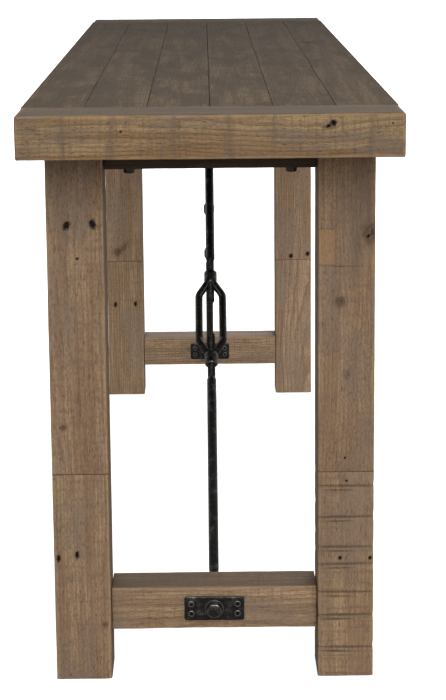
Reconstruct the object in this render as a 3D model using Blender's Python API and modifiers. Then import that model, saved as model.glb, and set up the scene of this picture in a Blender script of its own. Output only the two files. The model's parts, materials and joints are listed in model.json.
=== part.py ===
"""Console table: a plank top on block legs, tied lengthwise by iron rods with turnbuckles.

Units are metres. +X runs along the table to its front end, +Y is to the right for someone
who stands at that end, and +Z is up. The origin is on the floor under the middle of the top.
Each tie rod climbs from the stretcher between two legs to a bracket under the top's middle.
"""

import math

import bmesh
import bpy
from mathutils import Vector

# Whole table
LENGTH = 1.778
WIDTH = 0.483
HEIGHT = 0.787
GAP = 0.0003  # left between pieces that touch

# Top
TOP_THICKNESS = 0.056
PLANK_COUNT = 6
END_BOARD_WIDTH = 0.094
TONGUE_LENGTH = 0.014
TONGUE_THICKNESS = 0.016
TONGUE_SHOULDER = 0.012  # plank width left beside the tongue, each side

# Legs, each of two blocks
LEG_SIDE = 0.0762
LEG_FROM_END = 0.124
LEG_FROM_SIDE = 0.0255
LEG_JOINT_HEIGHT = 0.290
LEG_PEG_SIDE = 0.030
LEG_PEG_HEIGHT = 0.020

# Cross members between two legs
SET_BACK = 0.0165  # behind the legs' outer faces
STRETCHER_SIDE = 0.060
STRETCHER_MIDDLE_HEIGHT = 0.094
STRETCHER_TENON = (0.030, 0.025, 0.040)
RAIL_DEPTH = 0.044
RAIL_HEIGHT = 0.032
RAIL_TENON = (0.024, 0.020, 0.018)

# Bolts that hold the rails to the top
RAIL_BOLT_OFFSET = 0.107
RAIL_BOLT_RADIUS = 0.004
RAIL_BOLT_REACH = 0.028  # into the top
RAIL_BOLT_FLANGE = (0.0080, 0.0015)
RAIL_BOLT_HEAD_ACROSS_FLATS = 0.013
RAIL_BOLT_HEAD_HEIGHT = 0.0055

# Iron plates on the stretchers, and what goes through them
PLATE_LENGTH = 0.082
PLATE_HEIGHT = 0.0345
PLATE_THICKNESS = 0.003
PLATE_CORNER = 0.005
NAIL_OFFSETS = (0.0315, 0.0068)
NAIL_RADIUS = 0.0016
NAIL_LENGTH = 0.024
NAIL_HEAD = (0.0046, 0.0014)
THREAD_RADIUS = 0.0060
HOLE_CLEARANCE = 0.0003
ANCHOR_WASHER = (0.0130, 0.0020)
ANCHOR_HEAD_ACROSS_FLATS = 0.018
ANCHOR_HEAD_HEIGHT = 0.0075

# Forks and pins
EAR_THICKNESS = 0.004
EAR_REACH = 0.013  # past the pin
FORK_BASE = 0.010
FORK_WIDTH = 0.026
PIN_RADIUS = 0.005
PIN_FROM_FORK_BASE = 0.015
PIN_HEAD = (0.0075, 0.0030)
PIN_TAIL = 0.004
EYE_RADIUS = 0.013
EYE_THICKNESS = 0.009

# Bracket under the middle of the top
BRACKET_LENGTH = 0.120
BRACKET_WIDTH = 0.060
BRACKET_THICKNESS = 0.004
BRACKET_PIN_DROP = 0.016  # pin below the bracket's plate
BRACKET_PIN_OFFSET = 0.030
BRACKET_SCREW_OFFSETS = (0.048, 0.021)
SCREW_RADIUS = 0.0022
SCREW_LENGTH = 0.028
SCREW_HEAD = (0.0045, 0.0026)

# Tie rods and turnbuckles
ROD_RADIUS = 0.0071
ROD_TAPER = 0.003
NECK_SIDE = 0.013
NECK_REACH = 0.026
SHAFT_START = 0.024  # from the pin
TURNBUCKLE_FROM_PIN = {"front": 0.4445, "rear": 0.464}
TURNBUCKLE_HALF = 0.0850
COLLAR_LENGTH = 0.021
COLLAR_RADIUS = 0.0102
ELBOW_HALF = 0.042
ELBOW_REACH = 0.008
BAR_RADIUS = 0.006
BAR_OFFSET = 0.0184
BAR_ROOT_OFFSET = 0.0015
THREAD_END = 0.030  # each rod's end, from the turnbuckle's middle
THREAD_SHOWN = 0.023  # outside the collar

# Worked out from the sizes above
TOP_UNDERSIDE = HEIGHT - TOP_THICKNESS
PLANK_WIDTH = WIDTH / PLANK_COUNT
LEG_X = LENGTH / 2 - LEG_FROM_END - LEG_SIDE / 2
LEG_Y = WIDTH / 2 - LEG_FROM_SIDE - LEG_SIDE / 2
LEG_INNER_Y = LEG_Y - LEG_SIDE / 2
CROSS_FACE_X = LENGTH / 2 - LEG_FROM_END - SET_BACK
STRETCHER_X = CROSS_FACE_X - STRETCHER_SIDE / 2
STRETCHER_INNER_X = CROSS_FACE_X - STRETCHER_SIDE
RAIL_X = CROSS_FACE_X - RAIL_DEPTH / 2
RAIL_UNDERSIDE = TOP_UNDERSIDE - GAP - RAIL_HEIGHT
FORK_BASE_X = STRETCHER_INNER_X - 2 * GAP - PLATE_THICKNESS - FORK_BASE
LOWER_PIN_X = FORK_BASE_X - PIN_FROM_FORK_BASE
LOWER_PIN_Z = STRETCHER_MIDDLE_HEIGHT
BRACKET_UNDERSIDE = TOP_UNDERSIDE - GAP - BRACKET_THICKNESS
UPPER_PIN_X = BRACKET_PIN_OFFSET
UPPER_PIN_Z = BRACKET_UNDERSIDE - BRACKET_PIN_DROP
ROD_RUN = LOWER_PIN_X - UPPER_PIN_X
ROD_RISE = UPPER_PIN_Z - LOWER_PIN_Z
ROD_SPAN = math.hypot(ROD_RUN, ROD_RISE)
ROD_LEAN = math.atan2(ROD_RUN, ROD_RISE)  # from the vertical
EAR_MIDDLE = EYE_THICKNESS / 2 + GAP + EAR_THICKNESS / 2
BORE_RADIUS = THREAD_RADIUS + HOLE_CLEARANCE

ENDS = (("front", 1), ("rear", -1))
SIDES = (("left", -1), ("right", 1))

ROUND_STEPS = 32
SMALL_STEPS = 16
HEX_STEPS = 6
ELBOW_POINTS = 5
BAR_TILT = 0.1  # radians, so that the two bars' facets do not coincide where they meet
TURN_MERGE = 1e-5


# ---------------------------------------------------------------- scene and materials


def clear_scene():
    for obj in list(bpy.data.objects):
        bpy.data.objects.remove(obj, do_unlink=True)


def make_collection(name):
    collection = bpy.data.collections.new(name)
    bpy.context.scene.collection.children.link(collection)
    return collection


def linear(channel):
    """One sRGB channel, 0 to 1, as linear light."""
    if channel <= 0.04045:
        return channel / 12.92
    return ((channel + 0.055) / 1.055) ** 2.4


def make_material(name, hex_colour, roughness, metallic):
    channels = [int(hex_colour[i : i + 2], 16) / 255 for i in (0, 2, 4)]
    material = bpy.data.materials.new(name)
    material.use_nodes = True
    shader = material.node_tree.nodes["Principled BSDF"]
    shader.inputs["Base Color"].default_value = [linear(c) for c in channels] + [1.0]
    shader.inputs["Roughness"].default_value = roughness
    shader.inputs["Metallic"].default_value = metallic
    return material


# ---------------------------------------------------------------- shapes


def mesh_from(bm, name):
    mesh = bpy.data.meshes.new(name)
    bm.to_mesh(mesh)
    bm.free()
    return mesh


def box_mesh(size):
    bm = bmesh.new()
    bmesh.ops.create_cube(bm, size=1.0)
    bmesh.ops.scale(bm, vec=size, verts=bm.verts)
    return mesh_from(bm, "box")


def cylinder_mesh(radius, depth, segments=ROUND_STEPS):
    bm = bmesh.new()
    bmesh.ops.create_cone(
        bm, cap_ends=True, segments=segments, radius1=radius, radius2=radius, depth=depth
    )
    return mesh_from(bm, "cylinder")


def hex_mesh(across_flats, depth):
    return cylinder_mesh(across_flats / math.sqrt(3), depth, HEX_STEPS)


def profile_mesh(profile):
    """An open line of (radius, height) points, ready to be turned about Z."""
    mesh = bpy.data.meshes.new("profile")
    points = [(radius, 0, height) for radius, height in profile]
    mesh.from_pydata(points, [(i, i + 1) for i in range(len(points) - 1)], [])
    return mesh


def place(obj, location=(0, 0, 0), rotation=(0, 0, 0), parent=None):
    obj.location = location
    obj.rotation_euler = rotation
    obj.parent = parent
    return obj


def add_piece(name, data, material, **where):
    obj = bpy.data.objects.new(name, data)
    data.materials.append(material)
    PARTS.objects.link(obj)
    return place(obj, **where)


def add_tool(data, **where):
    """A shape that a piece is cut with or joined to, left out of the finished table."""
    obj = bpy.data.objects.new("tool", data)
    CUTTERS.objects.link(obj)
    obj.hide_render = True
    obj.display_type = "WIRE"
    return place(obj, **where)


def turn(obj, steps=SMALL_STEPS):
    """Turns a profile about Z. The profile runs from the top of the axis to its foot."""
    screw = obj.modifiers.new("turned", "SCREW")
    screw.axis = "Z"
    screw.steps = steps
    screw.render_steps = steps
    screw.use_merge_vertices = True
    screw.merge_threshold = TURN_MERGE
    screw.use_smooth_shade = True
    return obj


def combine(obj, tool, operation):
    boolean = obj.modifiers.new(operation.lower(), "BOOLEAN")
    boolean.operation = operation
    boolean.solver = "EXACT"
    boolean.object = tool
    return obj


def join_box(obj, size, **where):
    return combine(obj, add_tool(box_mesh(size), **where), "UNION")


def cut_box(obj, size, **where):
    return combine(obj, add_tool(box_mesh(size), **where), "DIFFERENCE")


def cut_hole(obj, radius, depth, segments=SMALL_STEPS, **where):
    return combine(obj, add_tool(cylinder_mesh(radius, depth, segments), **where), "DIFFERENCE")


def grown(size):
    """A mortise's size for a tenon of this size, with a gap all round."""
    return [side + 2 * GAP for side in size]


ALONG_X = (0, math.pi / 2, 0)
ALONG_Y = (-math.pi / 2, 0, 0)


# ---------------------------------------------------------------- top


def build_top(wood):
    """Six planks, tongued at both ends into a board that runs across them."""
    plank_end = LENGTH / 2 - END_BOARD_WIDTH
    middle_z = HEIGHT - TOP_THICKNESS / 2
    tongue = (
        2 * TONGUE_LENGTH,
        PLANK_WIDTH - 2 * TONGUE_SHOULDER,
        TONGUE_THICKNESS,
    )
    size = (END_BOARD_WIDTH - GAP, WIDTH, TOP_THICKNESS)
    boards = []
    for end, sign in ENDS:
        x = sign * (LENGTH / 2 - size[0] / 2)
        boards.append(add_piece(f"end_board_{end}", box_mesh(size), wood, location=(x, 0, middle_z)))

    planks = []
    for i in range(PLANK_COUNT):
        y = (i + 0.5) * PLANK_WIDTH - WIDTH / 2
        size = (2 * plank_end, PLANK_WIDTH - GAP, TOP_THICKNESS)
        plank = add_piece(f"top_plank_{i + 1}", box_mesh(size), wood, location=(0, y, middle_z))
        for board, (_, sign) in zip(boards, ENDS):
            joint = (sign * plank_end, y, middle_z)
            join_box(plank, tongue, location=joint)
            cut_box(board, grown(tongue), location=joint)
        planks.append(plank)
    return planks


def plank_over(planks, y):
    return planks[int((y + WIDTH / 2) // PLANK_WIDTH)]


# ---------------------------------------------------------------- end frames


def build_legs(end, sign, wood):
    """Two legs. Each lower block has a square peg that stands in the upper block."""
    for side, hand in SIDES:
        x, y = sign * LEG_X, hand * LEG_Y
        peg = (LEG_PEG_SIDE, LEG_PEG_SIDE, 2 * LEG_PEG_HEIGHT)
        joint = (x, y, LEG_JOINT_HEIGHT)
        lower_size = (LEG_SIDE, LEG_SIDE, LEG_JOINT_HEIGHT)
        lower = add_piece(
            f"leg_{end}_{side}_lower", box_mesh(lower_size), wood, location=(x, y, LEG_JOINT_HEIGHT / 2)
        )
        join_box(lower, peg, location=joint)
        stretcher_end = (sign * STRETCHER_X, hand * LEG_INNER_Y, STRETCHER_MIDDLE_HEIGHT)
        cut_box(lower, grown(doubled_in_y(STRETCHER_TENON)), location=stretcher_end)

        foot, head = LEG_JOINT_HEIGHT + GAP, TOP_UNDERSIDE - GAP
        upper_size = (LEG_SIDE, LEG_SIDE, head - foot)
        upper = add_piece(
            f"leg_{end}_{side}_upper", box_mesh(upper_size), wood, location=(x, y, (foot + head) / 2)
        )
        cut_box(upper, grown(peg), location=joint)
        rail_end = (sign * RAIL_X, hand * LEG_INNER_Y, RAIL_UNDERSIDE + RAIL_HEIGHT / 2)
        cut_box(upper, grown(doubled_in_y(RAIL_TENON)), location=rail_end)


def doubled_in_y(size):
    """A tenon drawn at twice its length, so that half of it stands out of the shoulder."""
    return (size[0], 2 * size[1], size[2])


def build_cross_member(name, size, tenon, centre, wood):
    member = add_piece(name, box_mesh(size), wood, location=centre)
    for _, hand in SIDES:
        at = (centre[0], hand * LEG_INNER_Y, centre[2])
        join_box(member, doubled_in_y(tenon), location=at)
    return member


def build_rail(end, sign, planks, wood, iron):
    """The rail under the top, with a bolt near each leg that goes up into a plank."""
    centre = (sign * RAIL_X, 0, RAIL_UNDERSIDE + RAIL_HEIGHT / 2)
    size = (RAIL_DEPTH, 2 * (LEG_INNER_Y - GAP), RAIL_HEIGHT)
    rail = build_cross_member(f"top_rail_{end}", size, RAIL_TENON, centre, wood)

    flange_radius, flange_thickness = RAIL_BOLT_FLANGE
    reach = RAIL_HEIGHT + RAIL_BOLT_REACH
    profile = (
        (0, reach),
        (RAIL_BOLT_RADIUS, reach),
        (RAIL_BOLT_RADIUS, 0),
        (flange_radius, 0),
        (flange_radius, -flange_thickness),
        (0, -flange_thickness),
    )
    for side, hand in SIDES:
        at = (centre[0], hand * RAIL_BOLT_OFFSET, RAIL_UNDERSIDE - GAP)
        bolt = turn(add_piece(f"rail_bolt_{end}_{side}", profile_mesh(profile), iron, location=at))
        head_height = RAIL_BOLT_HEAD_HEIGHT + flange_thickness / 2
        head_z = at[2] - flange_thickness / 2 - head_height / 2
        head = hex_mesh(RAIL_BOLT_HEAD_ACROSS_FLATS, head_height)
        combine(bolt, add_tool(head, location=(at[0], at[1], head_z)), "UNION")
        hole = 2 * (reach + 2 * GAP)
        cut_hole(rail, RAIL_BOLT_RADIUS + HOLE_CLEARANCE, hole, location=at)
        cut_hole(plank_over(planks, at[1]), RAIL_BOLT_RADIUS + HOLE_CLEARANCE, hole, location=at)


# ---------------------------------------------------------------- iron plates and forks


def ring_points(radius, count, start=0.0):
    step = 2 * math.pi / count
    return [(radius * math.cos(start + i * step), radius * math.sin(start + i * step)) for i in range(count)]


def rounded_rectangle(length, height, corner, steps=4):
    points = []
    for quarter, (sx, sy) in enumerate(((1, 1), (-1, 1), (-1, -1), (1, -1))):
        cx, cy = sx * (length / 2 - corner), sy * (height / 2 - corner)
        for i in range(steps + 1):
            angle = math.pi / 2 * (quarter + i / steps)
            points.append((cx + corner * math.cos(angle), cy + corner * math.sin(angle)))
    return points


def plate_curve(outline, holes, thickness):
    """A flat plate with round holes, each hole given as its centre and radius."""
    curve = bpy.data.curves.new("plate", "CURVE")
    curve.dimensions = "2D"
    curve.fill_mode = "BOTH"
    curve.extrude = thickness / 2
    loops = [outline]
    for (x, y), radius in holes:
        loops.append([(x + u, y + v) for u, v in ring_points(radius, SMALL_STEPS)])
    for loop in loops:
        spline = curve.splines.new("POLY")
        spline.points.add(len(loop) - 1)
        for point, (x, y) in zip(spline.points, loop):
            point.co = (x, y, 0, 1)
        spline.use_cyclic_u = True
    return curve


def corner_points(offsets):
    return [(sx * offsets[0], sy * offsets[1]) for sx in (-1, 1) for sy in (-1, 1)]


def build_plate(name, x, iron):
    nail_hole = NAIL_RADIUS + HOLE_CLEARANCE
    holes = [(at, nail_hole) for at in corner_points(NAIL_OFFSETS)] + [((0, 0), BORE_RADIUS)]
    outline = rounded_rectangle(PLATE_LENGTH, PLATE_HEIGHT, PLATE_CORNER)
    facing_x = (math.pi / 2, 0, math.pi / 2)
    curve = plate_curve(outline, holes, PLATE_THICKNESS)
    add_piece(name, curve, iron, location=(x, 0, STRETCHER_MIDDLE_HEIGHT), rotation=facing_x)


def headed_profile(shank_radius, length, head):
    """A nail, screw or pin that points down, with the underside of its head at 0."""
    head_radius, head_height = head
    return (
        (0, head_height),
        (head_radius * 0.6, head_height),
        (head_radius, head_height * 0.4),
        (head_radius, 0),
        (shank_radius, 0),
        (shank_radius, -length),
        (0, -length),
    )


def build_stretcher(end, sign, wood):
    centre = (sign * STRETCHER_X, 0, STRETCHER_MIDDLE_HEIGHT)
    size = (STRETCHER_SIDE, 2 * (LEG_INNER_Y - GAP), STRETCHER_SIDE)
    stretcher = build_cross_member(f"stretcher_{end}", size, STRETCHER_TENON, centre, wood)
    cut_hole(stretcher, BORE_RADIUS, 2 * STRETCHER_SIDE, location=centre, rotation=ALONG_X)
    return stretcher


def build_anchor(end, sign, stretcher, iron, fastener_iron):
    """Plates on both faces of the stretcher, a bolt through them, and the fork it screws into."""
    z = STRETCHER_MIDDLE_HEIGHT
    outer_face = CROSS_FACE_X + GAP + PLATE_THICKNESS
    build_plate(f"outer_plate_{end}", sign * (CROSS_FACE_X + GAP + PLATE_THICKNESS / 2), iron)
    build_plate(f"inner_plate_{end}", sign * (STRETCHER_INNER_X - GAP - PLATE_THICKNESS / 2), iron)

    nail = headed_profile(NAIL_RADIUS, NAIL_LENGTH, NAIL_HEAD)
    head_out = (0, sign * math.pi / 2, 0)
    for i, (y, dz) in enumerate(corner_points(NAIL_OFFSETS)):
        at = (sign * (outer_face + GAP), y, z + dz)
        name = f"plate_nail_{end}_{i + 1}"
        turn(add_piece(name, profile_mesh(nail), fastener_iron, location=at, rotation=head_out))
        depth = 2 * (NAIL_LENGTH + GAP)
        cut_hole(stretcher, NAIL_RADIUS + HOLE_CLEARANCE, depth, location=at, rotation=ALONG_X)

    washer_radius, washer_thickness = ANCHOR_WASHER
    washer_x = outer_face + GAP + washer_thickness / 2
    where = {"location": (sign * washer_x, 0, z), "rotation": ALONG_X}
    washer = add_piece(f"anchor_washer_{end}", cylinder_mesh(washer_radius, washer_thickness), iron, **where)
    cut_hole(washer, BORE_RADIUS, 4 * washer_thickness, **where)

    head_x = outer_face + 2 * GAP + washer_thickness
    where = {"location": (sign * (head_x + ANCHOR_HEAD_HEIGHT / 2), 0, z), "rotation": ALONG_X}
    head = hex_mesh(ANCHOR_HEAD_ACROSS_FLATS, ANCHOR_HEAD_HEIGHT)
    bolt = add_piece(f"anchor_bolt_{end}", head, fastener_iron, **where)
    shank_start, shank_end = FORK_BASE_X, head_x + ANCHOR_HEAD_HEIGHT / 2
    shank = cylinder_mesh(THREAD_RADIUS, shank_end - shank_start, SMALL_STEPS)
    where = {"location": (sign * (shank_start + shank_end) / 2, 0, z), "rotation": ALONG_X}
    combine(bolt, add_tool(shank, **where), "UNION")

    base_x = FORK_BASE_X + FORK_BASE / 2
    size = (FORK_BASE, FORK_WIDTH, FORK_WIDTH)
    fork = add_piece(f"fork_{end}", box_mesh(size), iron, location=(sign * base_x, 0, z))
    ear_end, ear_root = LOWER_PIN_X - EAR_REACH, FORK_BASE_X + FORK_BASE / 2
    for _, hand in SIDES:
        at = (sign * (ear_end + ear_root) / 2, hand * EAR_MIDDLE, z)
        join_box(fork, (ear_root - ear_end, EAR_THICKNESS, 2 * EAR_REACH), location=at)
    pin_at = (sign * LOWER_PIN_X, 0, LOWER_PIN_Z)
    cut_hole(fork, PIN_RADIUS + HOLE_CLEARANCE, 2 * FORK_WIDTH, location=pin_at, rotation=ALONG_Y)
    at = (sign * (FORK_BASE_X + FORK_BASE / 2), 0, z)
    cut_hole(fork, BORE_RADIUS, 2 * FORK_BASE, location=at, rotation=ALONG_X)
    build_pin(f"fork_pin_{end}", pin_at, fastener_iron)


def build_pin(name, centre, iron):
    """A headed pin that lies along Y through two ears and the eye between them."""
    half = EAR_MIDDLE + EAR_THICKNESS / 2 + GAP
    profile = headed_profile(PIN_RADIUS, 2 * half + PIN_TAIL, PIN_HEAD)
    at = (centre[0], centre[1] + half, centre[2])
    turn(add_piece(name, profile_mesh(profile), iron, location=at, rotation=ALONG_Y))


def build_bracket(planks, iron, fastener_iron):
    """The plate screwed under the top's middle, and the two ears that both rods hang from."""
    plate_z = BRACKET_UNDERSIDE + BRACKET_THICKNESS / 2
    size = (BRACKET_LENGTH, BRACKET_WIDTH, BRACKET_THICKNESS)
    bracket = add_piece("top_bracket", box_mesh(size), iron, location=(0, 0, plate_z))
    ear_length = 2 * (UPPER_PIN_X + EAR_REACH)
    ear_foot = UPPER_PIN_Z - EAR_REACH
    for _, hand in SIDES:
        at = (0, hand * EAR_MIDDLE, (plate_z + ear_foot) / 2)
        join_box(bracket, (ear_length, EAR_THICKNESS, plate_z - ear_foot), location=at)
    for end, sign in ENDS:
        pin_at = (sign * UPPER_PIN_X, 0, UPPER_PIN_Z)
        hole = PIN_RADIUS + HOLE_CLEARANCE
        cut_hole(bracket, hole, BRACKET_WIDTH, location=pin_at, rotation=ALONG_Y)
        build_pin(f"bracket_pin_{end}", pin_at, fastener_iron)

    screw = headed_profile(SCREW_RADIUS, SCREW_LENGTH, SCREW_HEAD)
    for i, (x, y) in enumerate(corner_points(BRACKET_SCREW_OFFSETS)):
        at = (x, y, BRACKET_UNDERSIDE - GAP)
        name = f"bracket_screw_{i + 1}"
        turn(add_piece(name, profile_mesh(screw), fastener_iron, location=at, rotation=(math.pi, 0, 0)))
        depth = 2 * (SCREW_LENGTH + GAP)
        cut_hole(bracket, SCREW_RADIUS + HOLE_CLEARANCE, depth, location=at)
        cut_hole(plank_over(planks, y), SCREW_RADIUS + HOLE_CLEARANCE, depth, location=at)


# ---------------------------------------------------------------- tie rods


def rod_axis(end, sign):
    """An empty at the turnbuckle's middle, with its Z along the rod, up to the top."""
    share = TURNBUCKLE_FROM_PIN[end] / ROD_SPAN
    x = LOWER_PIN_X - share * ROD_RUN
    z = LOWER_PIN_Z + share * ROD_RISE
    axis = bpy.data.objects.new(f"rod_axis_{end}", None)
    PARTS.objects.link(axis)
    return place(axis, location=(sign * x, 0, z), rotation=(0, -sign * ROD_LEAN, 0))


def build_rod(name, pin_height, axis, iron):
    """A rod with an eye at pin_height on its axis, and a thinner threaded end at the middle."""
    toward = math.copysign(1, pin_height)
    reach = abs(pin_height)
    thread_start = TURNBUCKLE_HALF + THREAD_SHOWN
    outline = [
        (0, THREAD_END),
        (THREAD_RADIUS - 0.001, THREAD_END),
        (THREAD_RADIUS, THREAD_END + 0.001),
        (THREAD_RADIUS, thread_start),
        (ROD_RADIUS, thread_start + ROD_TAPER),
        (ROD_RADIUS, reach - SHAFT_START),
        (0, reach - SHAFT_START),
    ]
    profile = sorted(((r, toward * s) for r, s in outline), key=lambda point: -point[1])
    if toward > 0:
        profile[0], profile[1] = sorted(profile[:2])
        profile[-2], profile[-1] = sorted(profile[-2:], reverse=True)
    rod = turn(add_piece(name, profile_mesh(profile), iron, parent=axis), steps=24)
    eye_at = (0, 0, pin_height)
    eye = cylinder_mesh(EYE_RADIUS, EYE_THICKNESS)
    combine(rod, add_tool(eye, location=eye_at, rotation=ALONG_Y, parent=axis), "UNION")
    neck_at = (0, 0, pin_height - toward * NECK_REACH / 2)
    join_box(rod, (NECK_SIDE, EYE_THICKNESS - 2 * GAP, NECK_REACH), location=neck_at, parent=axis)
    hole = PIN_RADIUS + HOLE_CLEARANCE
    cut_hole(rod, hole, 2 * EYE_THICKNESS, location=eye_at, rotation=ALONG_Y, parent=axis)


def bar_centre_line(hand):
    """The line of one side bar: out from the lower collar, straight, and in again."""
    root = Vector((BAR_ROOT_OFFSET, TURNBUCKLE_HALF - COLLAR_LENGTH + BAR_RADIUS))
    elbow = Vector((BAR_OFFSET, ELBOW_HALF))
    before = elbow + (root - elbow).normalized() * ELBOW_REACH
    after = elbow - Vector((0, ELBOW_REACH))
    upper = [root]
    for i in range(ELBOW_POINTS):
        share = i / (ELBOW_POINTS - 1)
        upper.append(before.lerp(elbow, share).lerp(elbow.lerp(after, share), share))
    points = [(0, hand * offset, way * height) for offset, height in upper for way in (-1, 1)]
    return sorted(points, key=lambda point: point[2])


def bar_mesh(hand):
    curve = bpy.data.curves.new("bar", "CURVE")
    curve.dimensions = "3D"
    curve.bevel_depth = BAR_RADIUS
    curve.bevel_resolution = 3
    curve.use_fill_caps = True
    spline = curve.splines.new("POLY")
    line = bar_centre_line(hand)
    spline.points.add(len(line) - 1)
    for point, at in zip(spline.points, line):
        point.co = (*at, 1)
        point.tilt = BAR_TILT if hand > 0 else 0
    source = bpy.data.objects.new("bar_curve", curve)
    CUTTERS.objects.link(source)
    bpy.context.view_layer.update()
    graph = bpy.context.evaluated_depsgraph_get()
    mesh = bpy.data.meshes.new_from_object(source.evaluated_get(graph))
    bpy.data.objects.remove(source, do_unlink=True)
    bm = bmesh.new()
    bm.from_mesh(mesh)
    bmesh.ops.remove_doubles(bm, verts=bm.verts, dist=TURN_MERGE)
    bmesh.ops.recalc_face_normals(bm, faces=bm.faces)
    bm.to_mesh(mesh)
    bm.free()
    return mesh


def build_turnbuckle(end, quarter_turn, axis, iron):
    """Two bars joined by a bored collar at each end. It turns about the rod's axis."""
    turned = {"rotation": (0, 0, quarter_turn), "parent": axis}
    body = add_piece(f"turnbuckle_{end}", bar_mesh(1), iron, **turned)
    combine(body, add_tool(bar_mesh(-1), **turned), "UNION")
    collar_middle = TURNBUCKLE_HALF - COLLAR_LENGTH / 2
    for way in (-1, 1):
        at = {"location": (0, 0, way * collar_middle), "parent": axis}
        combine(body, add_tool(cylinder_mesh(COLLAR_RADIUS, COLLAR_LENGTH), **at), "UNION")
    for way in (-1, 1):
        bore = {"location": (0, 0, way * TURNBUCKLE_HALF), "parent": axis}
        cut_hole(body, BORE_RADIUS, 2 * (TURNBUCKLE_HALF - THREAD_END), ROUND_STEPS, **bore)


# ---------------------------------------------------------------- assembly


def build_table():
    top_wood = make_material("top_wood", "64594f", 0.72, 0.0)
    leg_wood = make_material("leg_wood", "836d58", 0.70, 0.0)
    cross_wood = make_material("cross_wood", "826c57", 0.70, 0.0)
    iron = make_material("blackened_iron", "2a2a29", 0.50, 0.8)
    fastener_iron = make_material("fastener_iron", "333332", 0.45, 0.8)

    planks = build_top(top_wood)
    build_bracket(planks, iron, fastener_iron)
    quarter_turns = {"front": 0, "rear": math.pi / 2}
    for end, sign in ENDS:
        build_legs(end, sign, leg_wood)
        build_rail(end, sign, planks, cross_wood, fastener_iron)
        stretcher = build_stretcher(end, sign, cross_wood)
        build_anchor(end, sign, stretcher, iron, fastener_iron)
        axis = rod_axis(end, sign)
        lower_reach = TURNBUCKLE_FROM_PIN[end]
        build_rod(f"lower_rod_{end}", -lower_reach, axis, iron)
        build_rod(f"upper_rod_{end}", ROD_SPAN - lower_reach, axis, iron)
        build_turnbuckle(end, quarter_turns[end], axis, iron)


clear_scene()
PARTS = make_collection("console_table")
CUTTERS = make_collection("cutters")
build_table()
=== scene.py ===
"""Console table of weathered reclaimed pine, tied lengthwise by blackened iron rods.

Units are metres. +X runs along the table to its front end, +Y is to the right for someone who
stands at that end, and +Z is up. Each piece is modelled on the box of the solid that it stands
for, so nothing here moves or resizes the table.
"""

import json
import logging
import math
from dataclasses import dataclass, field
from enum import Enum
from functools import cache
from typing import Callable, NamedTuple, Sequence

import bmesh
import bpy
from mathutils import Matrix, Vector


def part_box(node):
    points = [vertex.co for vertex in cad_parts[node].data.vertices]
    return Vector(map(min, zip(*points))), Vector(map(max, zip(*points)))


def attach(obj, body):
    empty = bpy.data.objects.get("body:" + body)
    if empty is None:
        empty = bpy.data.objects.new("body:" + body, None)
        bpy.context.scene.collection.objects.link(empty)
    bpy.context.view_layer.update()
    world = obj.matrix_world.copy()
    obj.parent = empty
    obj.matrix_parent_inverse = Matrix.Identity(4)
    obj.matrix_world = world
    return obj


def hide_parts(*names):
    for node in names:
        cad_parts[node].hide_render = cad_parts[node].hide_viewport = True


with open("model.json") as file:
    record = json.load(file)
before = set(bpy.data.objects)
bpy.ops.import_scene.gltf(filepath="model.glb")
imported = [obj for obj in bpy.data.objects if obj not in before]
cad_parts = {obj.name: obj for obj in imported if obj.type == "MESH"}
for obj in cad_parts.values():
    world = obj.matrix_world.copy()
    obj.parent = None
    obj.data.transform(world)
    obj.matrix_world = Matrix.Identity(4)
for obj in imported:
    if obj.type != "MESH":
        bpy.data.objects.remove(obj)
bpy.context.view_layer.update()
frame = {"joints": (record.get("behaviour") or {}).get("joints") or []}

LOG = logging.getLogger("console_table")
GAP = 0.0003  # left between pieces that touch
SMOOTH_ANGLE = math.radians(38)
SQUARE = 1e-4  # how far off a plane a corner may lie and still count as on it
PARALLEL = 1e-6  # how far an edge may lean and still count as parallel to an axis
VOXEL = 0.0008  # size of the cells that forged pieces are fused in
ACROSS = Vector((0, 1, 0))
ALONG = Vector((1, 0, 0))
TABLE_BODY = "table"
ENDS = (("front", 1), ("rear", -1))

Value = object  # a number, a colour, a node or a socket
Piece = bpy.types.Object


class Axis(Enum):
    """One of the table's three directions."""

    X = 0
    Y = 1
    Z = 2

    @property
    def vector(self) -> Vector:
        """The direction as a unit vector."""
        return Vector([float(i == self.value) for i in range(3)])

    @property
    def others(self) -> tuple[int, int]:
        """The indices of the two other directions, in order."""
        return tuple(i for i in range(3) if i != self.value)


class Slot(Enum):
    """The finishes that the table's record names."""

    TOP_WOOD = "top_wood"
    LEG_WOOD = "leg_wood"
    CROSS_WOOD = "cross_wood"
    IRON = "blackened_iron"
    FASTENER = "fastener_iron"


class Trace(Enum):
    """What years of use left in a timber."""

    NAIL_HOLE = "nail hole"
    PIN_HOLE = "pin hole"
    KNOT = "knot"
    LOST_KNOT = "lost knot"
    PATCH = "let-in patch"
    SAW_CUT = "saw cut"
    STREAK = "streak"
    SMUDGE = "smudge"


# ---------------------------------------------------------------- mesh work


def take_hold(obj: Piece) -> Piece:
    """Makes one object the only selected one, and the active one, and returns it.

    Args:
        obj: the object.

    Returns:
        The same object.
    """
    bpy.ops.object.select_all(action="DESELECT")
    obj.select_set(True)
    bpy.context.view_layer.objects.active = obj
    return obj


def new_primitive(name: str) -> Piece:
    """Names the primitive that was just added, and puts its place and size into its mesh.

    Args:
        name: its name.

    Returns:
        The primitive.
    """
    obj = take_hold(bpy.context.active_object)
    obj.name = name
    bpy.ops.object.transform_apply(location=True, rotation=True, scale=True)
    return obj


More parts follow.
